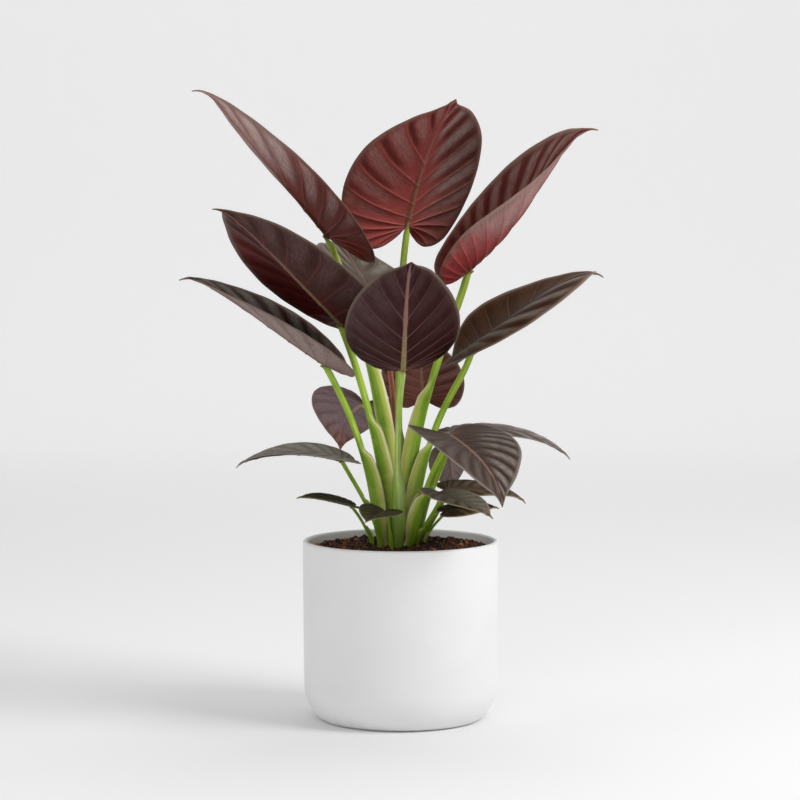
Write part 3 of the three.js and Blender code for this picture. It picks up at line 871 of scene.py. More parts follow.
    def sheet(self, hand: Hand) -> dict[str, Rows]:
        """Works out one half of the blade.

        Args:
            hand: Which half.

        Returns:
            Corners of both faces and the marks on them, each a grid of rows by columns.
        """
        sign, veins = hand.value, self.leaf.vein_count
        u, v = np.meshgrid(self.rows(), self.columns(), indexing="ij")
        margin = through(np.array(self.outline, float), u[:, 0])

        def place(u: Rows, v: Rows, end: Rows) -> tuple[Rows, Rows]:
            """Places along and across, for shares of the outline and out to its point end."""
            start = self.vein_start(u)
            arched = (1 - self.vein_arch) * v + self.vein_arch * v**5
            return start + (end[:, :1] - start) * arched, sign * end[:, 1:] * v

        x, y = place(u, v, margin)
        centre = self.surface(x, y)
        nudge = self.nudge
        y_safe = np.where(np.abs(y) < 2 * nudge, sign * 2 * nudge, y)
        along = self.surface(x + nudge, y_safe) - self.surface(x - nudge, y_safe)
        over = self.surface(x, y_safe + nudge) - self.surface(x, y_safe - nudge)
        normal = normed(np.cross(along, over))
        middle = normed(self.directions(x[:, 0])[1])
        normal = np.where((v < self.columns()[1])[..., None], middle[:, None, :], normal)

        next_margin = through(np.array(self.outline, float), np.minimum(u[:, 0] + nudge, 1))
        x2, y2 = place(np.minimum(u + nudge, 1), v, next_margin)
        x3, y3 = place(u, np.minimum(v + nudge, 1) - (v >= 1) * nudge, margin)
        step = (self.surface(x2, np.where(y2 == 0, y_safe, y2)) - centre) / nudge
        outward = normed(self.surface(x3, np.where(y3 == 0, y_safe, y3)) - centre)
        spacing = np.linalg.norm(np.cross(step, outward), axis=-1)

        phase = u * veins
        nearest = np.round(phase)
        inside = (nearest > 0) & (nearest < veins)
        distance = np.abs(phase - nearest) / veins * spacing
        taper = self.vein_taper[0] - self.vein_taper[1] * v
        width = self.vein_half_width * taper * max(self.relief, 0.5)
        vein = np.where(inside, np.exp(-((distance / width) ** 2)), 0) * smooth(v, 1.0, 0.86)
        between = 1 - (2 * (phase - np.floor(phase)) - 1) ** 2
        quilt = between * smooth(v, 0, 0.55) * smooth(v, 1.0, 0.84)
        rib_distance = np.abs(y) * self.half_width
        ahead = np.clip(x, 0, 1)
        rib_width = self.rib_half_width * (1 - self.rib_taper * ahead) * (0.5 + 0.5 * self.relief)
        rib = np.sqrt(np.maximum(0, 1 - (rib_distance / rib_width) ** 2)) * smooth(x, -0.02, 0.01)
        rib *= smooth(x, 1.0, 0.93)
        ruffle = self.ruffle_height * np.sin(2 * math.pi * (phase + 0.25 * sign)) * v**4

        lift = self.quilt * (quilt - self.quilt_drop * smooth(v, 1.1, 0.8)) + ruffle
        lift = self.relief * lift * smooth(v, 0, 0.12) * smooth(u, 1, 0.93)
        half = np.where(v > self.rim_start, self.rim_thickness, self.thickness) / 2
        top = half - self.groove * self.relief * rib - self.vein_groove * vein
        low = half + self.rib_height * self.relief * (1 - ahead) * rib
        low = low + self.vein_height * self.relief * vein
        return {
            "upper": centre + normal * (lift + top)[..., None],
            "under": centre + normal * (lift - low)[..., None],
            "Vein": vein, "Rib": smooth(rib, 0.2, 0.8), "Outward": v, "Vein_count": phase,
            "Rim": smooth(v, 1 - self.rim_width / self.half_width, 1.0),
            "x": x, "y": y, "start": self.vein_start(u),
        }

    def build(self) -> Piece:
        """Makes the blade as one closed mesh.

        Returns:
            The finished piece.
        """
        marks = {key: [] for key in ("Vein", "Rib", "Rim", "Outward", "Vein_count", "Upper")}
        points, places, faces = [], [], []
        spine: dict[float, int] = {}
        slimness = self.half_width / self.length

        def pair(half: dict[str, Rows], i: int, j: int) -> int:
            """Adds a corner of the upper face and the one under it, and returns its index."""
            index = len(points)
            for side, face in (("upper", Face.UPPER), ("under", Face.UNDER)):
                points.append(half[side][i, j])
                for key in marks:
                    marks[key].append(face.value if key == "Upper" else half[key][i, j])
                places.append((half["y"][i, j] * slimness, half["x"][i, j]))
            return index

        for hand in Hand:
            half = self.sheet(hand)
            rows, columns = half["x"].shape
            grid = np.zeros((rows, columns), int)
            for i in range(rows):
                key = float(half["start"][i, 0])
                if key not in spine:
                    spine[key] = pair(half, i, 0)
                grid[i, 0] = spine[key]
                for j in range(1, columns):
                    grid[i, j] = spine[key] if i in (0, rows - 1) else pair(half, i, j)
            for i in range(rows - 1):
                for j in range(columns - 1):
                    ring = [grid[i, j], grid[i + 1, j], grid[i + 1, j + 1], grid[i, j + 1]]
                    ring = [a for k, a in enumerate(ring) if a != ring[k - 1]]
                    if len(ring) < 3:
                        continue
                    if hand is Hand.RIGHT:
                        ring.reverse()
                    faces.append(tuple(ring))
                    faces.append(tuple(a + 1 for a in reversed(ring)))
                a, b = grid[i, -1], grid[i + 1, -1]
                if hand is Hand.RIGHT:
                    a, b = b, a
                faces.append((a, b, b + 1, a + 1))
        name = f"blade_{self.leaf.number:02d}"
        finish = BladeFinish(self.leaf.look).material(f"{name}_finish")
        values = {key: np.array(column) for key, column in marks.items()}
        piece = mesh_object(name, np.array(points), faces, values, np.array(places), finish)
        return claimed(piece, f"leaf_{self.leaf.number:02d}_blade")


@dataclass
class StalkShape:
    """Tree that sweeps a stalk along its route: a sheath open on one side, then a round stalk.

    widths are the sheath's from the soil to its top, in shares of its widest. The rest goes once
    round the section, in shares of the way: angles in degrees from the sheath's back, reaches in
    radii, then how strong the pale edge, the thin wing and the dark core are.
    """

    around: int = 44
    steps: int = 90
    widths: tuple[float, ...] = (0.52, 0.8, 0.97, 1, 0.97, 0.85, 0.66)
    sheath_end: Pair = (0.9, 1.05)
    end_taper: tuple[float, ...] = (0.96, 1.0, 1.0, 0.25)
    angles: Pairs = (
        (0, -145), (0.5, 145), (0.53, 148), (0.56, 145), (0.6, 138),
        (0.9, -138), (0.94, -145), (0.97, -148), (1, -145),
    )
    reaches: Pairs = (
        (0, 1), (0.5, 1), (0.53, 0.96), (0.56, 0.9), (0.6, 0.84), (0.67, 0.72),
        (0.75, 0.6), (0.83, 0.72), (0.9, 0.84), (0.94, 0.9), (0.97, 0.96), (1, 1),
    )
    edge: Pairs = (
        (0, 0.9), (0.03, 0), (0.47, 0), (0.5, 0.9), (0.53, 1), (0.6, 0.5),
        (0.66, 0), (0.84, 0), (0.9, 0.5), (0.97, 1), (1, 0.9),
    )
    wing: Pairs = (
        (0, 1), (0.05, 0.6), (0.11, 0), (0.39, 0), (0.45, 0.6), (0.5, 1), (1, 1),
    )
    core: Pairs = (
        (0, 0), (0.05, 0.2), (0.1, 1), (0.16, 0.9), (0.24, 0.1), (0.26, 0.1),
        (0.34, 0.9), (0.4, 1), (0.45, 0.2), (0.5, 0), (1, 0),
    )

    def __post_init__(self) -> None:
        """Makes the tree."""
        self.shape = ShapeTree("sheathed_stalk", {
            "Stalk Radius": NUMBER, "Sheath Radius": NUMBER, "Sheath Top": NUMBER,
            "Soil Line": NUMBER, "Opens": NUMBER, "Around": WHOLE, "Along": WHOLE,
        })
        self.draw()

    def draw(self) -> None:
        """Adds the tree's nodes."""
        shape, g = self.shape, self.shape.graph
        stalk_radius, soil_line = shape.size("Stalk Radius"), shape.size("Soil Line")
        grid = g.add("GeometryNodeMeshGrid", {
            "Size X": 1.0, "Size Y": 1.0,
            "Vertices X": shape.size("Around"), "Vertices Y": shape.size("Along"),
        })
        spot = g.add("GeometryNodeInputPosition", {})
        s = g.plus(g.part(spot, "X"), 0.5)
        last = g.minus(shape.size("Along"), 1.0)
        row = g.times(g.plus(g.part(spot, "Y"), 0.5), last)
        share = g.math("DIVIDE", g.minus(row, 1.0), g.minus(last, 2.0), clamp=True)
        before_last = g.math("LESS_THAN", row, g.minus(last, 0.5))
        closed = g.times(g.math("GREATER_THAN", row, 0.5), before_last)

        values = {"Curves": shape.start.outputs[0], "Factor": share}
        centre = g.add("GeometryNodeSampleCurve", values, out="Position", mode="FACTOR")
        along = centre.node.outputs["Tangent"]
        sheath_length = g.minus(shape.size("Sheath Top"), soil_line)
        h = g.math("DIVIDE", g.minus(g.part(centre, "Z"), soil_line), sheath_length)
        sheathed = g.ramp(h, *self.sheath_end, 1.0, 0.0)
        count = len(self.widths) - 1
        points = [(k / count, width) for k, width in enumerate(self.widths)]
        width = g.curve(g.math("MAXIMUM", h, 0.0), points, smooth=True)
        widest = g.math("MAXIMUM", g.times(shape.size("Sheath Radius"), width), stalk_radius)
        radius = g.plus(stalk_radius, g.times(g.minus(widest, stalk_radius), sheathed))
        radius = g.times(radius, g.ramp(share, *self.end_taper))

        turn = g.curve(s, [(place, angle / 360 + 0.5) for place, angle in self.angles])
        angle = g.times(g.minus(turn, 0.5), math.tau)
        reach = g.curve(s, self.reaches)
        even = g.times(g.minus(s, 0.25), math.tau)

        def coordinate(function: str) -> Socket:
            """Returns the cosine or the sine of the section, sheathed below, round above."""
            plain = g.math(function, even)
            cut = g.times(g.math(function, angle), reach)
            mixed = g.plus(plain, g.times(g.minus(cut, plain), sheathed))
            return g.times(mixed, radius)

        x = g.plus(coordinate("COSINE"), g.minus(stalk_radius, radius))
        y = coordinate("SINE")
        turned = shape.size("Opens")
        opens = g.combine(g.math("COSINE", turned), g.math("SINE", turned), 0.0)
        tilt = g.vector("DOT_PRODUCT", opens, along, out="Value")
        flat = g.vector("SUBTRACT", opens, g.scaled(along, tilt))
        away = g.scaled(g.vector("NORMALIZE", flat), -1.0)
        sideways = g.vector("CROSS_PRODUCT", along, away)
        back, side = g.scaled(away, g.times(x, closed)), g.scaled(sideways, g.times(y, closed))
        place = g.vector("ADD", centre, g.vector("ADD", back, side))

        mesh = g.keep(grid, "UVMap", grid.node.outputs["UV Map"], "FLOAT2", "CORNER")
        marks = {
            "Sheath_wing": (self.wing, sheathed),
            "Sheath_core": (self.core, g.line(sheathed, 0.4, 0.6)),
            "Sheath_edge": (self.edge, sheathed),
        }
        for name, (points, strength) in marks.items():
            mesh = g.keep(mesh, name, g.times(g.curve(s, points), strength))
        mesh = g.add("GeometryNodeSetPosition", {"Geometry": mesh, "Position": place})
        shape.finish(shape.merged(mesh))


@dataclass
class Stalk:
    """One leaf's stalk, with the sheath that wraps its lower part."""

    leaf: Leaf
    shape: StalkShape
    finish: bpy.types.Material
    soil_line: float = 142.0
    rhizome_top: float = 127.3
    route_points: int = 80
    run_in: float = 1.4

    def route(self, end: Rows, ahead: Rows) -> Rows:
        """Follows the stalk from the rhizome to the blade.

        Args:
            end: Where it meets the blade.
            ahead: Direction of the midrib there.

        Returns:
            Points along it, one a row.
        """
        a = np.array([*self.leaf.foot, self.soil_line])
        b, c = np.array(self.leaf.lean), np.array(self.leaf.reach)
        t = np.linspace(0, 1, self.route_points)[:, None]
        bent = (1 - t) ** 3 * a + 3 * (1 - t) ** 2 * t * b + 3 * (1 - t) * t**2 * c + t**3 * end
        lean = (b - a) / np.linalg.norm(b - a)
        root = a - lean * (self.soil_line - self.rhizome_top) / lean[2]
        steps = np.linspace(0.5, 1, 6)[:, None]
        onward = end + ahead * steps * self.run_in * self.leaf.stalk[0]
        return np.vstack([root, bent, onward])

    def build(self, end: Rows, ahead: Rows) -> Piece:
        """Makes the stalk.

        Args:
            end: Where it meets the blade.
            ahead: Direction of the midrib there.

        Returns:
            The finished piece.
        """
        name = f"stalk_{self.leaf.number:02d}"
        radius, sheath_top, sheath_radius, opens = self.leaf.stalk
        base = line_object(f"{name}_route", self.route(end, ahead))
        piece = self.shape.shape.grow(base, name, {
            "Stalk Radius": radius * MM, "Sheath Radius": sheath_radius * MM,
            "Sheath Top": sheath_top * MM, "Soil Line": self.soil_line * MM,
            "Opens": math.radians(opens), "Around": self.shape.around,
            "Along": self.shape.steps, "Material": self.finish,
        })
        return claimed(piece, f"leaf_{self.leaf.number:02d}_stalk")


@dataclass
class Pot:
    """Plain glazed cylinder with a rounded lower edge and a rounded rim."""

    height: float = 146.0
    radius: float = 80.0
    foot_radius: float = 63.0
    corner_radius: float = 38.0
    corner_height: float = 29.0
    corner_turn: float = 47.0
    foot_edge: float = 0.5
    foot_gap: float = 0.9
    taper: float = 1.3
    wall: float = 4.5
    floor: float = 6.0
    sides: int = 160
    path_radius: float = 50.0

    def radius_at(self, z: float) -> float:
        """Radius of the outside at a height."""
        return self.radius - self.taper * (1 - z / self.height)

    def inner_radius_at(self, z: float) -> float:
        """Radius of the inside at a height."""
        return self.radius_at(z) - self.wall

    def profile(self) -> Rows:
        """Half section from the foot's middle, up the outside, over the rim and down inside.

        Returns:
            Points of radius and height, one a row.
        """

        def arc(x: float, z: float, radius: float, start: float, end: float, steps: int) -> Rows:
            """Points of an arc, from its angle start to its angle end."""
            angle = np.radians(np.linspace(start, end, steps))
            return np.c_[x + radius * np.cos(angle), z + radius * np.sin(angle)]

        corner, lip = self.corner_radius, self.wall / 2
        inner, low = corner - self.wall, self.corner_height
        centre = self.radius_at(low) - corner
        turn = math.degrees(math.asin((low - self.floor) / inner))
        walls = np.linspace(0, 1, 12)[:, None]
        top, foot = self.height - lip, self.foot_radius
        outside = (1 - walls) * [centre + corner, low] + walls * [self.radius, top]
        inside = (1 - walls) * [self.radius - self.wall, top] + walls * [centre + inner, low]
        return np.vstack([
            [[0, 0], [foot * 0.5, 0], [foot - 1, 0], [foot, 0]],
            [[foot + self.foot_edge, self.foot_gap]],
            arc(centre, low, corner, -self.corner_turn, 0, 14)[:-1], outside[:-1],
            arc(self.radius - lip, top, lip, 0, 180, 17)[:-1], inside[:-1],
            arc(centre, low, inner, 0, -turn, 10), [[0, self.floor]],
        ])

    def build(self) -> Piece:
        """Turns the profile round the pot's axis.

        Returns:
            The finished piece.
        """
        shape = ShapeTree("turned_pot", {"Sides": WHOLE, "Path Radius": NUMBER})
        g = shape.graph
        path = g.add("GeometryNodeCurvePrimitiveCircle", {
            "Resolution": shape.size("Sides"), "Radius": shape.size("Path Radius"),
        })
        values = {"Curve": path, "Profile Curve": shape.start.outputs[0]}
        shape.finish(shape.merged(g.add("GeometryNodeCurveToMesh", values)))
        radii, heights = self.profile().T
        section = np.c_[radii - self.path_radius, -heights, np.zeros(len(radii))]
        piece = shape.grow(line_object("pot_profile", section), "white_pot", {
            "Sides": self.sides, "Path Radius": self.path_radius * MM,
            "Material": GlazeFinish().material("glaze"),
        })
        return claimed(outward(piece), "pot")


@dataclass
class Soil:
    """Coarse potting mix: a closed body with a rough top, and loose crumbs on it."""

    pot: Pot
    gap: float = 0.3
    edge_level: float = 139.0
    crown_level: float = 141.6
    sides: int = 150
    rings: int = 60
    chamfer: float = 10.0
    mound: Pair = (34.0, 14.0)
    mound_height: float = 2.4
    mound_spread: float = 24.0
    lump_height: float = 0.7
    crumb_height: float = 0.35
    crumb_density: float = 300000.0
    crumb_sizes: Pair = (0.5, 3.2)
    crumb_pitch: float = 2.0
    crumb_roughness: float = 0.0014
    seed: int = 7

    def top(self, x: Rows, y: Rows) -> Rows:
        """Height of the top at a place."""
        radius = np.hypot(x, y) / (self.pot.inner_radius_at(self.edge_level) - self.gap)
        level = self.crown_level + (self.edge_level - self.crown_level) * radius**2
        lump = np.sin(0.31 * x + 1.0) * np.cos(0.27 * y) + 0.6 * np.sin(0.53 * y - 0.4 * x)
        crumb = np.sin(1.7 * x + 0.9 * y) * np.sin(1.9 * y - 0.5 * x + 1)
        crumb = crumb + 0.5 * np.sin(3.1 * x - 2.3 * y)
        away = (x - self.mound[0]) ** 2 + (y - self.mound[1]) ** 2
        mound = self.mound_height * np.exp(-away / self.mound_spread**2)
        rough = self.lump_height * lump + self.crumb_height * crumb + mound
        return level + rough * (1 - radius**8)

    def body(self) -> Piece:
        """Makes the closed body of soil.

        Returns:
            The finished piece.
        """
        edge = self.pot.inner_radius_at(self.edge_level) - self.gap
        floor = self.pot.floor + self.gap
        drop = self.pot.corner_height - floor
        low = self.pot.inner_radius_at(self.pot.corner_height) - self.gap
        radii = np.r_[np.linspace(0, edge, self.rings + 1), low, low - self.chamfer]
        angles = np.linspace(0, math.tau, self.sides, endpoint=False)
        points = [(0.0, 0.0, float(self.top(np.zeros(1), np.zeros(1))[0]))]
        for k, radius in enumerate(radii[1:], start=1):
            x, y = radius * np.cos(angles), radius * np.sin(angles)
            below = floor + (drop if k == self.rings + 1 else 0)
            level = self.top(x, y) if k <= self.rings else np.full(self.sides, below)
            points.extend(zip(x, y, level))
        points.append((0.0, 0.0, floor))
        faces = []
        count = len(radii) - 1

        def ring(k: int, i: int) -> int:
            """Index of corner i of ring k."""
            return 1 + (k - 1) * self.sides + i % self.sides

        for i in range(self.sides):
            faces.append((0, ring(1, i), ring(1, i + 1)))
            faces.append((len(points) - 1, ring(count, i + 1), ring(count, i)))
            for k in range(1, count):
                faces.append((ring(k, i), ring(k + 1, i), ring(k + 1, i + 1), ring(k, i + 1)))
        rows = np.array(points)
        finish = SoilFinish().material("soil_body_finish")
        piece = mesh_object("soil_body", rows, faces, {}, rows[:, :2] / 100, finish)
        return claimed(piece, "soil")

    def crumbs(self) -> Piece:
        """Scatters crumbs over the top of the soil.

        Returns:
            The finished piece.
        """
        shape = ShapeTree("soil_crumbs", {
            "Density": NUMBER, "Smallest": NUMBER, "Largest": NUMBER, "Seed": WHOLE,
        })
        g = shape.graph
        smallest = shape.size("Smallest")

        def draw(low: Value, high: Value, seed: int) -> Socket:
            """Returns a random number, or a vector where low is one."""
            if isinstance(low, tuple):
                values = {"Min": low, "Max": high, "Seed": seed}
                return g.add("FunctionNodeRandomValue", values, data_type="FLOAT_VECTOR")
            values = {"Min_001": low, "Max_001": high, "Seed": seed}
            return g.add("FunctionNodeRandomValue", values, out="Value_001")

        points = g.add("GeometryNodeDistributePointsOnFaces", {
            "Mesh": shape.start.outputs[0], "Density": shape.size("Density"),
            "Seed": shape.size("Seed"),
        })
        turn = draw((0, 0, 0), (math.tau,) * 3, 3)
        shares = draw((0.5, 0.5, 0.35), (1.5, 1.1, 0.9), 5)
        size = g.math("POWER", draw(0.0, 1.0, 11), 3.0)
        size = g.plus(smallest, g.times(size, g.minus(shape.size("Largest"), smallest)))
        crumb = g.add("GeometryNodeMeshIcoSphere", {"Radius": 1.0, "Subdivisions": 1})
        spread = g.add("GeometryNodeInstanceOnPoints", {
            "Points": points, "Instance": crumb, "Rotation": turn, "Scale": g.scaled(shares, size),
        })
        spread = g.keep(spread, "Shade", draw(0.0, 1.0, 17), domain="INSTANCE")
        mesh = g.add("GeometryNodeRealizeInstances", {"Geometry": spread})
        spot = g.add("GeometryNodeInputPosition", {})
        rough = g.noise(spot, 900.0, 2.0, out="Color")
        shift = g.scaled(g.vector("SUBTRACT", rough, (0.5, 0.5, 0.5)), self.crumb_roughness)
        mesh = g.add("GeometryNodeSetPosition", {"Geometry": mesh, "Offset": shift})
        shape.finish(mesh, even=False)

        reach = self.pot.inner_radius_at(self.edge_level) - self.gap - 3
        axis = np.arange(-reach, reach + 1, self.crumb_pitch)
        x, y = np.meshgrid(axis, axis, indexing="ij")
        spots = np.c_[x.ravel(), y.ravel(), self.top(x, y).ravel()]
        k = np.arange(x.size).reshape(x.shape)
        rings = np.stack([k[:-1, :-1], k[1:, :-1], k[1:, 1:], k[:-1, 1:]], axis=-1).reshape(-1, 4)
        inside = np.hypot(x, y).ravel() < reach
        faces = rings[inside[rings].all(axis=1)].tolist()
        finish = SoilFinish(crumbs=True).material("soil_crumb_finish")
        base = mesh_object("crumb_ground", spots, faces, {}, spots[:, :2] / 100, finish)
        piece = shape.grow(base, "soil_crumbs", {
            "Density": self.crumb_density, "Smallest": self.crumb_sizes[0] * MM,
            "Largest": self.crumb_sizes[1] * MM, "Seed": self.seed, "Material": finish,
        })
        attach(piece, "root")
        return piece


def outward(piece: Piece) -> Piece:
    """Turns a closed piece's faces outwards if its volume comes out negative."""
    mesh = piece.data
    mesh.calc_loop_triangles()
    corners = np.array([mesh.vertices[i].co for t in mesh.loop_triangles for i in t.vertices])
    a, b, c = corners.reshape(-1, 3, 3).swapaxes(0, 1)
    if np.einsum("ij,ij->i", a, np.cross(b, c)).sum() < 0:
        mesh.flip_normals()
    return piece


def claimed(piece: Piece, node: str) -> Piece:
    """Hangs a piece on the root body and hides the CAD node that it replaces.

    Args:
        piece: The finished piece.
        node: The CAD node that the piece replaces.

    Returns:
        The same piece.
    """
    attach(piece, "root")
    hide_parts(node)
    return piece


@dataclass(frozen=True)
class SoftBox:
    """One square light: its place and what it points at in metres, its side and its watts."""

    name: str
    spot: Triple
    aim: Triple
    size: float
    power: float

    def hang(self) -> None:
        """Makes the light."""
        light = bpy.data.lights.new(self.name, "AREA")
        light.size = self.size
        light.energy = self.power
        lamp = placed(self.name, light)
        lamp.location = self.spot
        aim = Vector(self.aim) - Vector(self.spot)
        lamp.rotation_euler = aim.to_track_quat("-Z", "Y").to_euler()


@dataclass
class Studio:
    """Pale floor that curves up into a backdrop, soft light and the camera, in metres.

    focal and shift are in pixels of the photograph, picture wide. tilt is how far the camera
    looks down.
    """

    floor_reach: float = 6.0
    depth: float = 2.6
    curve_radius: float = 1.2
    wall_height: float = 4.0
    sky: float = 0.42
    eye: Triple = (0, -2.0, 0.3884)
    tilt: float = 3.667
    sensor: float = 36
    focal: float = 2462
    shift: float = -0.62
    picture: float = 800
    sight: float = 50
    lamps: tuple[SoftBox, ...] = (
        SoftBox("key_light", (1.65, -0.75, 1.7), (0, 0, 0.2), 0.9, 29.0),
        SoftBox("top_light", (0.2, 0.3, 2.3), (0, 0, 0.3), 1.5, 13.0),
        SoftBox("front_light", (-0.7, -2.4, 1.5), (0, 0, 0.2), 1.4, 8.0),
        SoftBox("left_light", (-1.9, -0.4, 1.2), (0, 0, 0.2), 1.2, 4.0),
    )

    def backdrop(self) -> None:
        """Makes the floor and wall as one smooth sheet."""
        turn = np.linspace(0, math.pi / 2, 24)
        wall = self.depth + self.curve_radius
        y = np.r_[-self.floor_reach, self.depth + self.curve_radius * np.sin(turn), wall]
        z = np.r_[0.0, self.curve_radius * (1 - np.cos(turn)), self.wall_height]
        sides = (-self.floor_reach, self.floor_reach)
        rows = np.vstack([np.c_[np.full(len(y), x), y, z] for x in sides])
        count = len(y)
        faces = [(i, i + count, i + count + 1, i + 1) for i in range(count - 1)]
        material = BackdropFinish().material("backdrop_paint")
        mesh_object("backdrop", rows / MM, faces, {}, rows[:, :2], material)

    def lights(self) -> None:
        """Makes the sky and the soft boxes."""
        world = bpy.data.worlds.new("studio_sky")
        world.use_nodes = True
        sky = world.node_tree.nodes["Background"]
        sky.inputs["Color"].default_value = (1, 1, 1, 1)
        sky.inputs["Strength"].default_value = self.sky
        bpy.context.scene.world = world
        for lamp in self.lamps:
            lamp.hang()

    def camera(self) -> None:
        """Makes the camera at the photograph's viewing angle."""
        lens = bpy.data.cameras.new("camera")
        lens.sensor_width = self.sensor
        lens.lens = self.sensor * self.focal / self.picture
        lens.shift_x = self.shift / self.picture
        lens.clip_end = self.sight
        eye = placed("camera", lens)
        eye.location = self.eye
        eye.rotation_euler = (math.radians(90 - self.tilt), 0, 0)
        bpy.context.scene.camera = eye


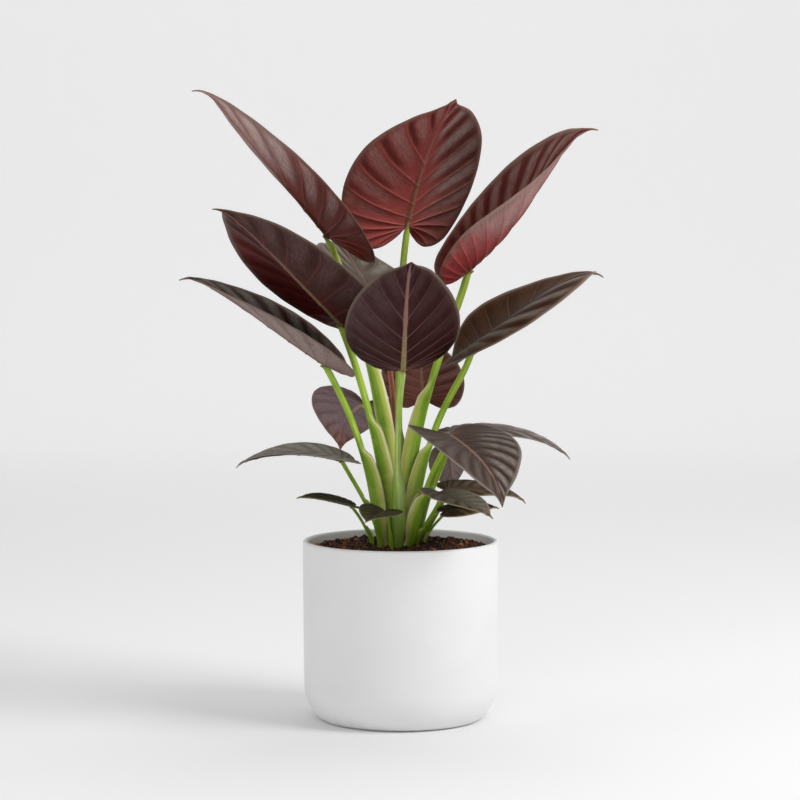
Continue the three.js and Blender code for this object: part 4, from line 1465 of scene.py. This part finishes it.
# Blade colours are set leaf by leaf: each leaf's own tone, partly painted light as well, lighter or
# darker for how much light falls on that leaf
LEAVES = (
    # upper left, the longest
    Leaf(
        number=1, seat=(-57, -35, 393), size=(185, 62), aim=(220, 43, 18), bends=(1, 3, 50),
        turns=(14, -7), fold=(10, 16), cup=(2, -13), foot=(-8, 4), lean=(-11, -6, 225),
        reach=(-24, -19, 316), stalk=(2.6, 298, 7.4, 0), vein_spread=2.2, quilting=0.6,
        look=BladeLook(
            under="b68f89", blush="923c33", blush_slope=(2.5, -3.0, 1.6), painted_sheen_colour="d0b8b3",
            vein="a27c76", painted_sheen_strengths=(0.7, 0.6), hollows=(0.45, 0.3),
        ),
    ),
    # top, upright in the middle
    Leaf(
        number=2, seat=(5, 9, 402), size=(145, 62), aim=(-59, 68, 2), bends=(47, 4, 0),
        turns=(-11, 12), fold=(25, -14), cup=(-20, 39), foot=(-2, 3), lean=(1, 4, 227),
        reach=(-6, 7, 325), stalk=(2.7, 236, 5.6, 80), vein_spread=1.7,
        look=BladeLook(
            under="946059", blush="a9534e", blush_slope=(-2.4, -0.2, 0.9), painted_sheen_colour="bbafa9",
            vein="b06e66", rib_base="937e57", rib_tip="b0746b", painted_sheen_strengths=(0.9, 0.35),
            hollows=(0.6, 0.7),
        ),
    ),
    # upper right, folded along its midrib
    Leaf(
        number=3, seat=(53, -12, 366), size=(163, 77), aim=(-4, 38, 5), bends=(-45, 67, 40),
        turns=(-26, -6), fold=(12, -16), cup=(43, 57), foot=(6, -3), lean=(5, -5, 255),
        reach=(47, -8, 328), stalk=(3.0, 274, 7.4, 180), vein_count=17, vein_spread=2.5,
        quilting=0.9,
        look=BladeLook(
            under="ab827d", blush="b04b4b", blush_slope=(2.4, -2.0, 1.75), upper="6c251e",
            painted_sheen_colour="9a827a", vein="93403f", painted_sheen_strengths=(0.7, 0.25), hollows=(0.5, 0.2),
        ),
    ),
    # left, second from the top
    Leaf(
        number=4, seat=(-46, -50, 323), size=(168, 70), aim=(222, 38, 2), bends=(2, 12, 25),
        turns=(9, -9), fold=(11, 27), cup=(-20, -38), foot=(-9, -6), lean=(-14, -17, 206),
        reach=(-24, -32, 261), stalk=(2.8, 248, 6.9, 0), vein_spread=1.5, quilting=0.6,
        look=BladeLook(
            under="4c3532", blush="6c2422", blush_slope=(-2.5, -1.6, 0.75), painted_sheen_colour="745c5a",
            vein="7c423d", rib_base="8f855a", painted_sheen_strengths=(0.3, 0.2), hollows=(0.5, 0.5),
        ),
    ),
    # front, in the middle of the plant
    Leaf(
        number=5, seat=(2, -75, 289), size=(153, 50), aim=(-89, 24, -3), bends=(-43, 58, 0),
        turns=(4, -2), fold=(25, 21), cup=(3, 15), foot=(-2, -22), lean=(-2, -35, 189),
        reach=(-4, -54, 253), stalk=(2.5, 207, 5.6, 75), quilting=0.5, skin=Skin.PALE,
        look=BladeLook(
            under="4b3536", blush="361b1b", blush_slope=(2.5, -0.3, 0.9), painted_sheen_colour="6e5957",
            vein="86625d", rib_base="a08e5e", rib_tip="96706a", painted_sheen_strengths=(0.15, 0.15),
            hollows=(0.3, 0.35),
        ),
    ),
    # right, half way up
    Leaf(
        number=6, seat=(56, -10, 300), size=(144, 77), aim=(3, 38, 21), bends=(-14, 41, 45),
        turns=(43, -20), fold=(11, -3), cup=(39, -35), foot=(9, -10), lean=(19, -10, 252),
        reach=(46, -10, 264), stalk=(2.7, 224, 7.0, 180), vein_spread=1.7, quilting=0.45,
        look=BladeLook(
            upper="43280f", painted_sheen_colour="8b8177", vein="a07c6e", rim="a09080", painted_sheen_strengths=(0.05, 0.7),
            hollows=(0.25, 0.65),
        ),
    ),
    # left, half way up, folded
    Leaf(
        number=7, seat=(-59, -36, 291), size=(138, 53), aim=(189, 33, 2), bends=(-7, 20, 45),
        turns=(-10, 6), fold=(1, 8), cup=(24, 27), foot=(-13, -16), lean=(-26, -21, 160),
        reach=(-13, -28, 204), stalk=(2.6, 222, 6.6, 0), vein_spread=1.7, quilting=0.8,
        look=BladeLook(
            under="8f7873", blush="6c5350", upper="43322b", painted_sheen_colour="958d86", painted_sheen_strengths=(0.6, 0.7),
            hollows=(0.4, 0.7),
        ),
    ),
    # back left, behind the upper leaves
    Leaf(
        number=8, seat=(-25, 35, 343), size=(144, 52), aim=(95, 18, 0), bends=(8, -59, 0),
        turns=(15, -12), fold=(25, 0), cup=(14, -7), foot=(-4, 13), lean=(-6, 18, 209),
        reach=(2, 26, 281), stalk=(2.3, 205, 4.6, -60), vein_spread=1.6, quilting=0.4,
        skin=Skin.RED,
        look=BladeLook(
            upper="564b41", painted_sheen_colour="827f75", vein="6e695c", painted_sheen_strengths=(0.6, 0.6), hollows=(0.5, 0.5),
        ),
    ),
    # back, behind the middle
    Leaf(
        number=9, seat=(19, 41, 259), size=(101, 35), aim=(94, 40, -1), bends=(21, 0, 0),
        turns=(-6, -4), fold=(13, 10), cup=(-4, -11), foot=(3, 16), lean=(6, 22, 181),
        reach=(10, 31, 221), stalk=(2.2, 188, 4.4, -90), quilting=0.8,
        look=BladeLook(upper="603a33", painted_sheen_colour="84675f", vein="a56d64", painted_sheen_strengths=(0.4, 0.4)),
    ),
    # back left, hanging
    Leaf(
        number=10, seat=(-31, 39, 255), size=(100, 37), aim=(113, -14, -7), bends=(26, 1, 0),
        turns=(-19, -9), fold=(25, 10), cup=(-11, -7), foot=(-11, 12), lean=(-14, 17, 193),
        reach=(-20, 25, 250), stalk=(2.0, 186, 4.0, -45), quilting=0.7,
        look=BladeLook(
            under="836b6f", blush="8a503f", blush_slope=(0, 2.2, -1.2), painted_sheen_colour="968384",
            vein="a08482", rib_base="b8977c", painted_sheen_strengths=(0.5, 0.5), hollows=(0.3, 0.3),
        ),
    ),
    # left, low, arching
    Leaf(
        number=11, seat=(-47, -20, 213), size=(89, 33), aim=(190, 15, 0), bends=(30, 10, 25),
        turns=(-1, -1), fold=(13, 3), cup=(-22, 21), foot=(-17, -20), lean=(-17, -20, 164),
        reach=(-34, -20, 188), stalk=(1.7, 182, 3.3, 10), vein_spread=1.7,
        look=BladeLook(upper="7c776d", painted_sheen_colour="b4b1aa", rim="a9a59c", hollows=(0.2, 0.2)),
    ),
    # left, lowest and small
    Leaf(
        number=12, seat=(-39, -23, 176), size=(49, 18), aim=(207, 17, 8), bends=(10, 9, 20),
        turns=(-7, 0), fold=(10, 10), cup=(-11, -3), foot=(-23, -14), lean=(-25, -16, 153),
        reach=(-32, -19, 166), stalk=(1.2, 160, 2.2, 20),
        look=BladeLook(
            upper="3c3b26", painted_sheen_colour="6a6656", vein="64644c", rim="8a8a70", hollows=(0.4, 0.4),
        ),
    ),
    # front, the smallest, at the crown
    Leaf(
        number=13, seat=(-13, -43, 174), size=(47, 17), aim=(-107, -3, 6), bends=(1, 6, 10),
        turns=(-2, -2), fold=(13, 12), cup=(-16, 8), foot=(-7, -33), lean=(-9, -36, 156),
        reach=(-9, -39, 171), stalk=(1.2, 158, 2.1, 90),
        look=BladeLook(
            upper="4e4a34", painted_sheen_colour="756c56", vein="70664e", rim="978f78", hollows=(0.3, 0.3),
        ),
    ),
    # right, low, broad, hanging forward
    Leaf(
        number=14, seat=(40, -47, 235), size=(96, 44), aim=(-62, -13, -2), bends=(22, 54, 10),
        turns=(4, 1), fold=(15, 8), cup=(-22, 16), foot=(5, -18), lean=(17, -18, 153),
        reach=(6, -24, 169), stalk=(2.4, 187, 6.2, 180), vein_count=17, vein_spread=1.9,
        quilting=0.4, skin=Skin.DUSKY,
        look=BladeLook(
            upper="4e413b", painted_sheen_colour="958d86", vein="8d6c65", rib_base="a9897a", rib_tip="a9897a",
            rim="aaa095", painted_sheen_strengths=(0.75, 0.2), hollows=(0.6, 0.15),
        ),
    ),
    # right, low, arching outward
    Leaf(
        number=15, seat=(40, 33, 232), size=(107, 44), aim=(-10, 13, -1), bends=(49, -1, 20),
        turns=(4, 5), fold=(10, 4), cup=(-22, -15), foot=(14, 7), lean=(20, 14, 172),
        reach=(30, 23, 202), stalk=(2.0, 186, 4.0, 190), quilting=0.7,
        look=BladeLook(
            upper="6a5c58", painted_sheen_colour="b0a5a1", rim="aaa095", painted_sheen_strengths=(0.7, 0.7), hollows=(0.4, 0.4),
        ),
    ),
    # back right, small, hanging
    Leaf(
        number=16, seat=(39, 39, 219), size=(57, 19), aim=(84, -41, 28), bends=(11, -9, 0),
        turns=(3, -8), fold=(3, 7), cup=(-22, -9), foot=(9, 12), lean=(17, 19, 167),
        reach=(32, 28, 192), stalk=(1.6, 176, 3.4, -120),
        look=BladeLook(under="8d7d79", blush="75605c", vein="a08f8b", hollows=(0.3, 0.3)),
    ),
    # right, small, upper of three
    Leaf(
        number=17, seat=(38, -9, 187), size=(67, 25), aim=(-3, 4, -11), bends=(18, 23, 25),
        turns=(8, 4), fold=(11, 10), cup=(-14, -11), foot=(16, 1), lean=(22, -2, 156),
        reach=(32, -5, 170), stalk=(1.5, 168, 3.2, 180),
        look=BladeLook(
            upper="5a4d3c", painted_sheen_colour="a09888", rim="b8a67f", painted_sheen_strengths=(0.3, 0.3), hollows=(0.4, 0.4),
        ),
    ),
    # right, small, front of three
    Leaf(
        number=18, seat=(32, -42, 188), size=(63, 23), aim=(-52, -12, 11), bends=(-3, 10, 15),
        turns=(7, -4), fold=(10, 10), cup=(13, -28), foot=(13, -9), lean=(13, -17, 155),
        reach=(33, -29, 176), stalk=(1.5, 158, 3.2, 170),
        look=BladeLook(
            upper="7a7263", painted_sheen_colour="a8a294", rim="b5a884", painted_sheen_strengths=(0.4, 0.4), hollows=(0.5, 0.5),
        ),
    ),
    # right, small, lowest
    Leaf(
        number=19, seat=(36, -28, 172), size=(46, 17), aim=(12, 11, -7), bends=(13, 14, 15),
        turns=(4, -9), fold=(7, 7), cup=(-10, -22), foot=(19, -4), lean=(22, -10, 155),
        reach=(29, -18, 162), stalk=(1.1, 154, 1.7, 200),
        look=BladeLook(
            upper="584c36", painted_sheen_colour="7d735c", rim="b89f74", painted_sheen_strengths=(0.3, 0.3), hollows=(0.4, 0.4),
        ),
    ),
)


def main() -> None:
    """Builds the plant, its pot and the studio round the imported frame."""
    logging.basicConfig(level=logging.INFO, format="%(message)s")
    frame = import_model()
    scene = bpy.context.scene
    scene.view_settings.view_transform = "Standard"

    pieces = [Pot().build()]
    soil = Soil(Pot())
    pieces += [soil.body(), soil.crumbs()]
    frame["nodes"]["rhizome"].data.materials.clear()
    frame["nodes"]["rhizome"].data.materials.append(RhizomeFinish().material("rhizome_skin"))

    stalk_shape = StalkShape()
    finishes = {
        Skin.GREEN: StalkFinish(),
        Skin.PALE: StalkFinish(green="a9c558", light="cbdd90", dark="7da04a", base="7b9a34"),
        Skin.RED: StalkFinish(
            green="97503e", light="c08c78", dark="6c3428",
            base="7f4a38", wing="c99c86", edge="f0dfcb",
        ),
        Skin.DUSKY: StalkFinish(tip="6e5d50", tip_start=0.86),
    }
    skins = {skin: finish.material(skin.value) for skin, finish in finishes.items()}
    for leaf in LEAVES:
        blade = Blade(leaf)
        pieces.append(blade.build())
        below = -normed(blade.directions(np.zeros(1))[1])[0]
        end = np.array(leaf.seat) + below * (blade.thickness / 2 + STALK_INSET * leaf.stalk[0])
        ahead = blade.directions(np.zeros(1))[0][0]
        pieces.append(Stalk(leaf, stalk_shape, skins[leaf.skin]).build(end, ahead))

    studio = Studio()
    studio.backdrop()
    studio.lights()
    studio.camera()

    for piece in pieces:
        LOG.info("%s: %d faces", piece.name, len(piece.data.polygons))


if __name__ == "__main__":
    main()
